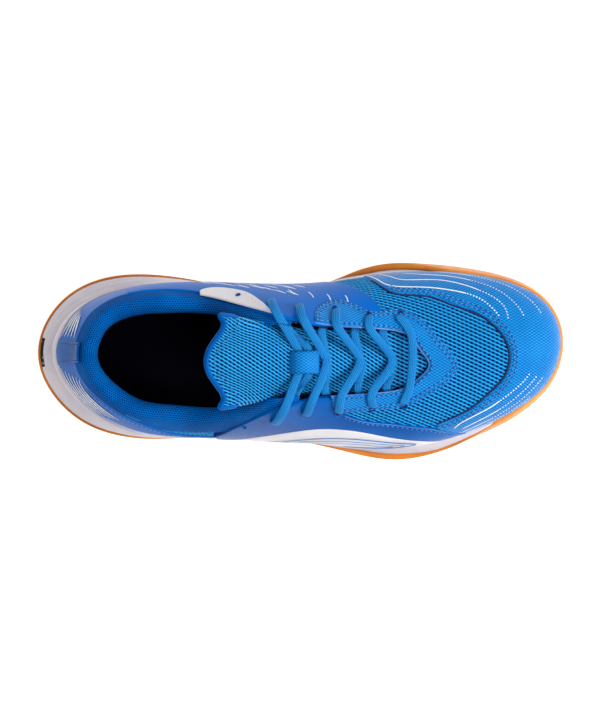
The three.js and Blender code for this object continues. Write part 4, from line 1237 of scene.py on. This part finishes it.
def ribbon(name, points, sides, finish, **kind):
    """A flat braided lace along a route, its width turning as the list of sides says."""
    points, sides = np.asarray(points, float), np.asarray(sides, float)
    for i in range(1, len(sides)):
        if np.dot(sides[i], sides[i - 1]) < 0:
            sides[i] = -sides[i]
    length = arc(points)[-1]
    count = int(length / 0.9)
    both = spline(np.hstack([points, sides * 2.0]), count * 2)
    both = respaced(both, count)
    path, side = both[:, :3], both[:, 3:]
    distance = arc(path)
    tangent = norm(np.gradient(path, axis=0))
    side = norm(side - (side * tangent).sum(-1, keepdims=True) * tangent)
    up = np.cross(tangent, side)
    around = 28
    angle = circle(around)
    power = 0.75
    x = np.sign(np.cos(angle)) * np.abs(np.cos(angle)) ** power * LACE_WIDTH / 2
    y = np.sign(np.sin(angle)) * np.abs(np.sin(angle)) ** power * LACE_THICKNESS / 2
    rib = 1 + 0.05 * np.cos(x / LACE_WIDTH * 2 * np.pi * 5)[None, :] * np.ones((count, 1))
    phase = distance[:, None] * 2 * np.pi / 1.9 + np.arange(around)[None, :] * np.pi / 2
    stagger = 1 + 0.02 * np.sin(phase)
    ring = side[:, None] * x[None, :, None] + up[:, None] * (y * rib * stagger)[..., None]
    skirt = arc(np.stack([x, y], 1))
    uv = np.stack(np.broadcast_arrays(distance[:, None], skirt[None, :]), -1)
    return mesh_piece(name, path[:, None] + ring, tube_faces(count, around), finish, uv=uv, **kind), path


def lace():
    stops = lace_stops()
    points, sides = zip(*stops)
    ribbon("lace_crossed", points, sides, braid_blue, replaces=["lace"], slot="braid")


def tails():
    for name, route in TAILS.items():
        route = np.array(route, float)
        back, ahead = np.vstack([route[:1], route[:-1]]), np.vstack([route[1:], route[-1:]])
        x, y, z = (ahead - back).T
        sides = norm(np.stack([-y, x, 0 * z], 1))
        piece, path = ribbon("lace_end_" + name, route, sides, braid_blue,
                             replaces=["lace_tail_" + name], slot="braid")
        along = norm(path[-1] - path[-4])
        start = path[-1] - along * 1.5
        tip = start + np.linspace(0, AGLET_LENGTH + 1.5, 40)[:, None] * along
        cap = tube("aglet_tip_" + name, tip, AGLET_RADIUS, tip_plastic, sides=16,
                   replaces=["aglet_" + name], slot="tip")
        metres = (path + SHIFT) * MM


# ---- thread, print and trim ------------------------------------------------------------------------


def seam_rows(route, distances, offset, count=300):
    line = on_skin(route, count)
    return [lifted(beside(line, distance), offset) for distance in distances]


def seams():
    """Rows of thread along the films' edges, each over a thin dark strip of painted shadow."""
    rows = seam_rows(STAY_EDGE, (-1.3, -3.2), STAY_FACE)
    rows += seam_rows(STAY_TOP, (1.4,), STAY_FACE)
    rows += seam_rows(TOE_CAP_EDGE[2:-2], (1.9, 3.9), FILM_TOP)
    rows += seam_rows(QUARTER_EDGE[:7], (1.5,), QUARTER_FACE)
    window = [(23.95, 0.4), (24.7, 0.5), (25.5, 0.71), (26.2, 0.82), (27.5, 0.83)]
    rows += seam_rows(window, (1.2,), HEEL_FACE)
    for u in (28.7, 29.3):
        rows += seam_rows([(u, 0.4), (u, 0.5), (u, 0.96)], (0,), STRIP_FACE)
    stitches("seam_thread", rows, thread_blue, slot="braid")
    # dark strips of painted shadow under the rows of thread, seen between the stitches
    shadow_lines = [(path, normals, np.full(len(path), 0.3)) for path, normals in rows]
    strips("seam_shadow_strips", shadow_lines, painted_shade_navy, height=0.07, slot="film")


def piping():
    """The dark cord behind the toe cap, which stands for its piping and for painted shade under the cap's
    raised edge, and the pale cut edge of the lace stay.
    """
    line = beside(on_skin(TOE_CAP_EDGE[1:-2], 400), -0.5)
    # the dark cord: piping, darkened as painted shade of the toe cap's raised edge
    surface_tube("toe_piping_and_shade", line, 0.55, 0.6, piping_and_shade_blue, slot="film")
    line = beside(on_skin(STAY_TOP, 400), -0.1)
    surface_tube("stay_cut_edge", line, 1.1, 0.42, cut_edge, slot="film")


def dashes(line, offset, half, dash, gap):
    """Cuts a line on the surface into short print marks."""
    path, normals = lifted(line, offset)
    distance = arc(path)
    marks = []
    for begin in np.arange(0, distance[-1] - dash, dash + gap):
        at = np.linspace(begin, begin + dash, 4)
        marks.append((sampled(at, distance, path), norm(sampled(at, distance, normals)), np.full(4, half)))
    return marks


TOE_LINES = [
    # route | where the solid line turns into dots | half width
    ([(7.95, 0.16), (8.3, 0.33), (8.65, 0.46), (9, 0.5), (10, 0.5), (11, 0.5), (11.8, 0.535), (12.4, 0.56)],
     10.8, 0.36),
    ([(8.2, 0.13), (8.6, 0.28), (9, 0.38), (10, 0.37), (11, 0.42), (12, 0.47), (12.7, 0.53)], 11.0, 0.3),
    ([(8.9, 0.2), (9.4, 0.26), (10, 0.27), (11, 0.32), (12, 0.385), (12.9, 0.43)], 10.6, 0.24),
    ([(9.7, 0.15), (10.3, 0.17), (11, 0.2), (12, 0.25), (13, 0.28)], 10.5, 0.22),
    ([(18.35, 0.36), (18, 0.42), (17.5, 0.45), (17, 0.455), (16.4, 0.455), (15.3, 0.42)], 16.6, 0.34),
    ([(18.15, 0.3), (17.6, 0.34), (17, 0.355), (16, 0.36), (15.3, 0.34)], 16.9, 0.28),
    ([(18.3, 0.2), (17.6, 0.25), (17, 0.27), (16, 0.28), (15.4, 0.27)], 17.3, 0.24),
    ([(18.2, 0.1), (17.6, 0.16), (17, 0.18), (16.2, 0.2)], 17.4, 0.22),
]


def toe_lines():
    """White lines on each side of the toe cap, solid at the rear and dotted at the front."""
    marks = []
    for route, turn, half in TOE_LINES:
        line = on_skin(route, 160)
        ahead = line[:, 0] > turn if route[0][0] < turn else line[:, 0] < turn
        path, normals = lifted(line[~ahead], FILM_TOP)
        marks.append((path, normals, half * smooth(0, 8, np.arange(len(path)))))
        marks += dashes(line[ahead], FILM_TOP, 1.1 * half, 0.8, 1.0)
    strips("toe_cap_lines", marks, print_white, slot="white_film")


def swept(route, offset, half, count=40):
    """A stroke that swells from a point and narrows again."""
    path, normals = lifted(on_skin(route, count), offset)
    return path, normals, half * np.sin(np.linspace(0.12, np.pi - 0.08, count))


def heel_lines():
    """White strokes fanned out on both sides of the heel strip, and long lines along the side."""
    marks = []
    for i in range(5):
        low, high = 0.41 + 0.05 * i, 0.43 + 0.085 * i
        marks.append(swept([(29.5, high), (29.9, 0.5 * high + 0.5 * low + 0.03), (30.6 - 0.06 * i, low)],
                           PRINT_ON_HEEL, 0.8))
    for i in range(6):
        low, high = 0.37 + 0.055 * i, 0.43 + 0.075 * i
        marks.append(swept([(28.5 - 0.1 * i, high), (27.8, 0.6 * high + 0.4 * low), (26.9 - 0.12 * i, low)],
                           PRINT_ON_HEEL, 0.78))
    for i in range(3):
        marks.append(swept([(27.4 - 0.2 * i, 0.3 + 0.05 * i), (26, 0.32 + 0.06 * i),
                (24.6, 0.34 + 0.05 * i),
                            (23.9, 0.36 + 0.04 * i)], 1.15, 0.25, 80))
    strips("heel_strokes", marks, print_white, slot="white_film")


def quarter_strokes():
    """A row of short ticks and a scatter of swept strokes on the medial side."""
    marks = []
    for i, (u, t) in enumerate([(6.13, 0.51), (6.58, 0.54), (7.05, 0.57), (7.6, 0.6)]):
        path, normals = lifted(on_skin([(u, t), (u + 0.07, t + 0.035), (u + 0.15, t + 0.09)], 12), FILM_TOP)
        marks.append((path, normals, np.full(12, 0.26)))
    for i in range(22):
        u, t = 4.3 + 0.09 * i, 0.34 + 0.1 * math.sin(i * 2.3) + 0.006 * i
        marks.append(swept([(u, t), (u + 0.12, t + 0.02), (u + 0.28, t + 0.06)], FILM_TOP, 0.55, 14))
    strips("quarter_strokes", marks, print_white, slot="white_film")


def side_outlines():
    """Thin blue outlines, one inside the other, on the white panel of the lateral side."""
    marks = []
    for i in range(3):
        g = 0.06 * i
        route = [(23.1 - 0.2 * i, 0.2 - 0.2 * g), (22.2, 0.38 - g), (21.2, 0.42 - g), (20.3, 0.35 - g),
                 (19.55 + 0.3 * i, 0.22), (20.3 + 0.1 * i, 0.15 + 0.3 * g), (21.4, 0.12 + 0.4 * g)]
        path, normals = lifted(on_skin(route, 120), PRINT_ON_PATCH)
        marks.append((path, normals, np.full(120, (0.45, 0.24, 0.2)[i])))
    strips("side_outlines", marks, print_blue, slot="film")
    path, normals = lifted(beside(on_skin(QUARTER_EDGE[:7], 160), 0.5), QUARTER_FACE)
    strips("quarter_edge_line", [(path, normals, np.full(160, 0.4))], print_blue, slot="film")


def eyelets():
    """A pressed rim at each eyelet, and a dark disc of painted shade standing for its punched hole."""
    spoke_count = 28
    angle = circle(spoke_count)
    stay_start, stay_end = STAY_EDGE[2][0] - 0.1, STAY_EDGE[-1][0]
    spots = [(u, t, STAY_FACE if stay_start < u < stay_end else QUARTER_FACE, 2.6, 1.4)
             for side in EYELETS.values() for u, t in side]
    spots += [(5.2, 0.79, 1.95, 1.5, 1.0), (23.4, 0.76, QUARTER_FACE, 1.5, 1.0)]
    rims, discs, rim_faces, disc_faces = [], [], [], []
    for index, (u, t, height, long_half, short_half) in enumerate(spots):
        along, up = (norm(v) for v in slopes(u, t))
        normal = outward(u, t)
        across = np.cross(normal, along)
        centre = place(u, t, height)
        spokes = np.outer(np.cos(angle) * long_half, across) + np.outer(np.sin(angle) * short_half, along)
        rings = [centre + spokes * grow + normal * lift
                 for grow, lift in ((0.95, -0.3), (0.95, 0.25), (1.12, 0.4), (1.3, 0.25), (1.35, -0.3))]
        rims.append(np.stack(rings, 1).reshape(-1, 3))
        rim_faces.append(quads(spoke_count, 5, True, True) + index * len(rims[-1]))
        # a dark disc inside each rim: painted shade where the punched hole would be
        discs.append(np.vstack([centre + spokes * 0.96 + normal * lift for lift in (0.12, -0.3)]))
        disc_faces.append(tube_faces(2, spoke_count) + index * len(discs[-1]))
    mesh_piece("eyelet_rims", np.vstack(rims), np.vstack(rim_faces), smooth_blue, slot="film")
    mesh_piece("eyelet_hole_shade", np.vstack(discs), np.vstack(disc_faces), painted_shade_navy, slot="lining")


def tongue_seam():
    v = np.linspace(-0.88, 0.88, 160)
    row = TONGUE_END - tip_back(v) - 0.62
    path = tongue_point(row, v, 0.55)
    ahead = tongue_point(row - 0.2, v, 0.55)
    normals = norm(np.cross(np.gradient(path, axis=0), path - ahead))
    normals *= np.sign(normals[:, 2:3])
    stitches("tongue_seam", [(path, normals)], thread_blue, length=1.8, pitch=2.4,
             body="tongue_tip", slot="braid")


def collar_window():
    """The coarser net in the gap behind the lateral side panel."""
    net("collar_window_net", [(26.2, 0.82), (25.5, 0.70), (24.7, 0.48), (23.95, 0.40)],
        [(26.2, 0.9), (25.5, 0.885), (24.7, 0.87), (23.95, 0.86)], net_blue, slot="mesh")


# ---- assembly ------------------------------------------------------------------------------------

def camera():
    data = bpy.data.cameras.new("camera")
    data.lens = CAMERA_LENS
    data.sensor_width = SENSOR
    data.clip_end = 100
    eye = bpy.data.objects.new("camera", data)
    eye.location = (*(SHIFT[:2] * MM), CAMERA_HEIGHT * MM)
    bpy.context.scene.collection.objects.link(eye)
    bpy.context.scene.camera = eye


def area_light(name, spot, target, size, power):
    data = bpy.data.lights.new(name, "AREA")
    data.shape = "RECTANGLE"
    data.size, data.size_y = size
    data.energy = power
    data.color = LAMP_COLOR
    lamp = bpy.data.objects.new(name, data)
    lamp.location = spot
    lamp.rotation_euler = (Vector(target) - Vector(spot)).to_track_quat("-Z", "Y").to_euler()
    bpy.context.scene.collection.objects.link(lamp)


def studio():
    finish = Finish("studio_floor", 0.9, Emission_Color=(1, 1, 1, 1), Emission_Strength=0.78)
    tone = finish.mix(finish.noise(0.002), (0.58, 0.58, 0.58, 1), (0.62, 0.62, 0.62, 1))
    mesh = bpy.data.meshes.new("floor")
    square = ((-1, -1), (1, -1), (1, 1), (-1, 1))
    corners = [(x * FLOOR_REACH, y * FLOOR_REACH, -FLOOR_DROP) for x, y in square]
    mesh.from_pydata(corners, [], [(0, 1, 2, 3)])
    mesh.materials.append(finish.done(tone))
    floor = bpy.data.objects.new("floor", mesh)
    bpy.context.scene.collection.objects.link(floor)
    world = bpy.data.worlds.new("studio")
    world.use_nodes = True
    sky = world.node_tree.nodes["Background"].inputs
    sky["Color"].default_value = SKY_COLOR
    sky["Strength"].default_value = SKY_STRENGTH
    bpy.context.scene.world = world
    for lamp in LAMPS:
        area_light(*lamp)
    bpy.context.scene.view_settings.view_transform = "Standard"


camera()
tails()
lace()
outsole()
tread()
midsole()
pad_low = 2 * GAP + BOARD
top_low = 3 * GAP + BOARD + FOAM
bed_plate("insole_pad", pad_low, pad_low + FOAM, plain_foam, replaces=["insole_foam"], slot="foam")
bed_plate("insole_top", top_low, top_low + COVER, navy_cloth, replaces=["insole_cover"], slot="lining")
upper()
panels()
collar_roll()
tongue()
tongue_binding()
keeper()
tongue_front()
seams()
piping()
toe_lines()
heel_lines()
quarter_strokes()
side_outlines()
eyelets()
tongue_seam()
collar_window()

CARRIED_OVER = {
    "heel_insert": navy_cloth, "shank_plate": navy_cloth, "strobel_board": stiff_board,
    "collar_pad": plain_foam, "heel_counter": stiff_board, "toe_puff": stiff_board,
    "eyelet_backer_medial": stiff_board, "eyelet_backer_lateral": stiff_board,
}
for node, finish in CARRIED_OVER.items():
    data = bpy.data.objects[node].data
    data.materials.clear()
    data.materials.append(finish)

studio()
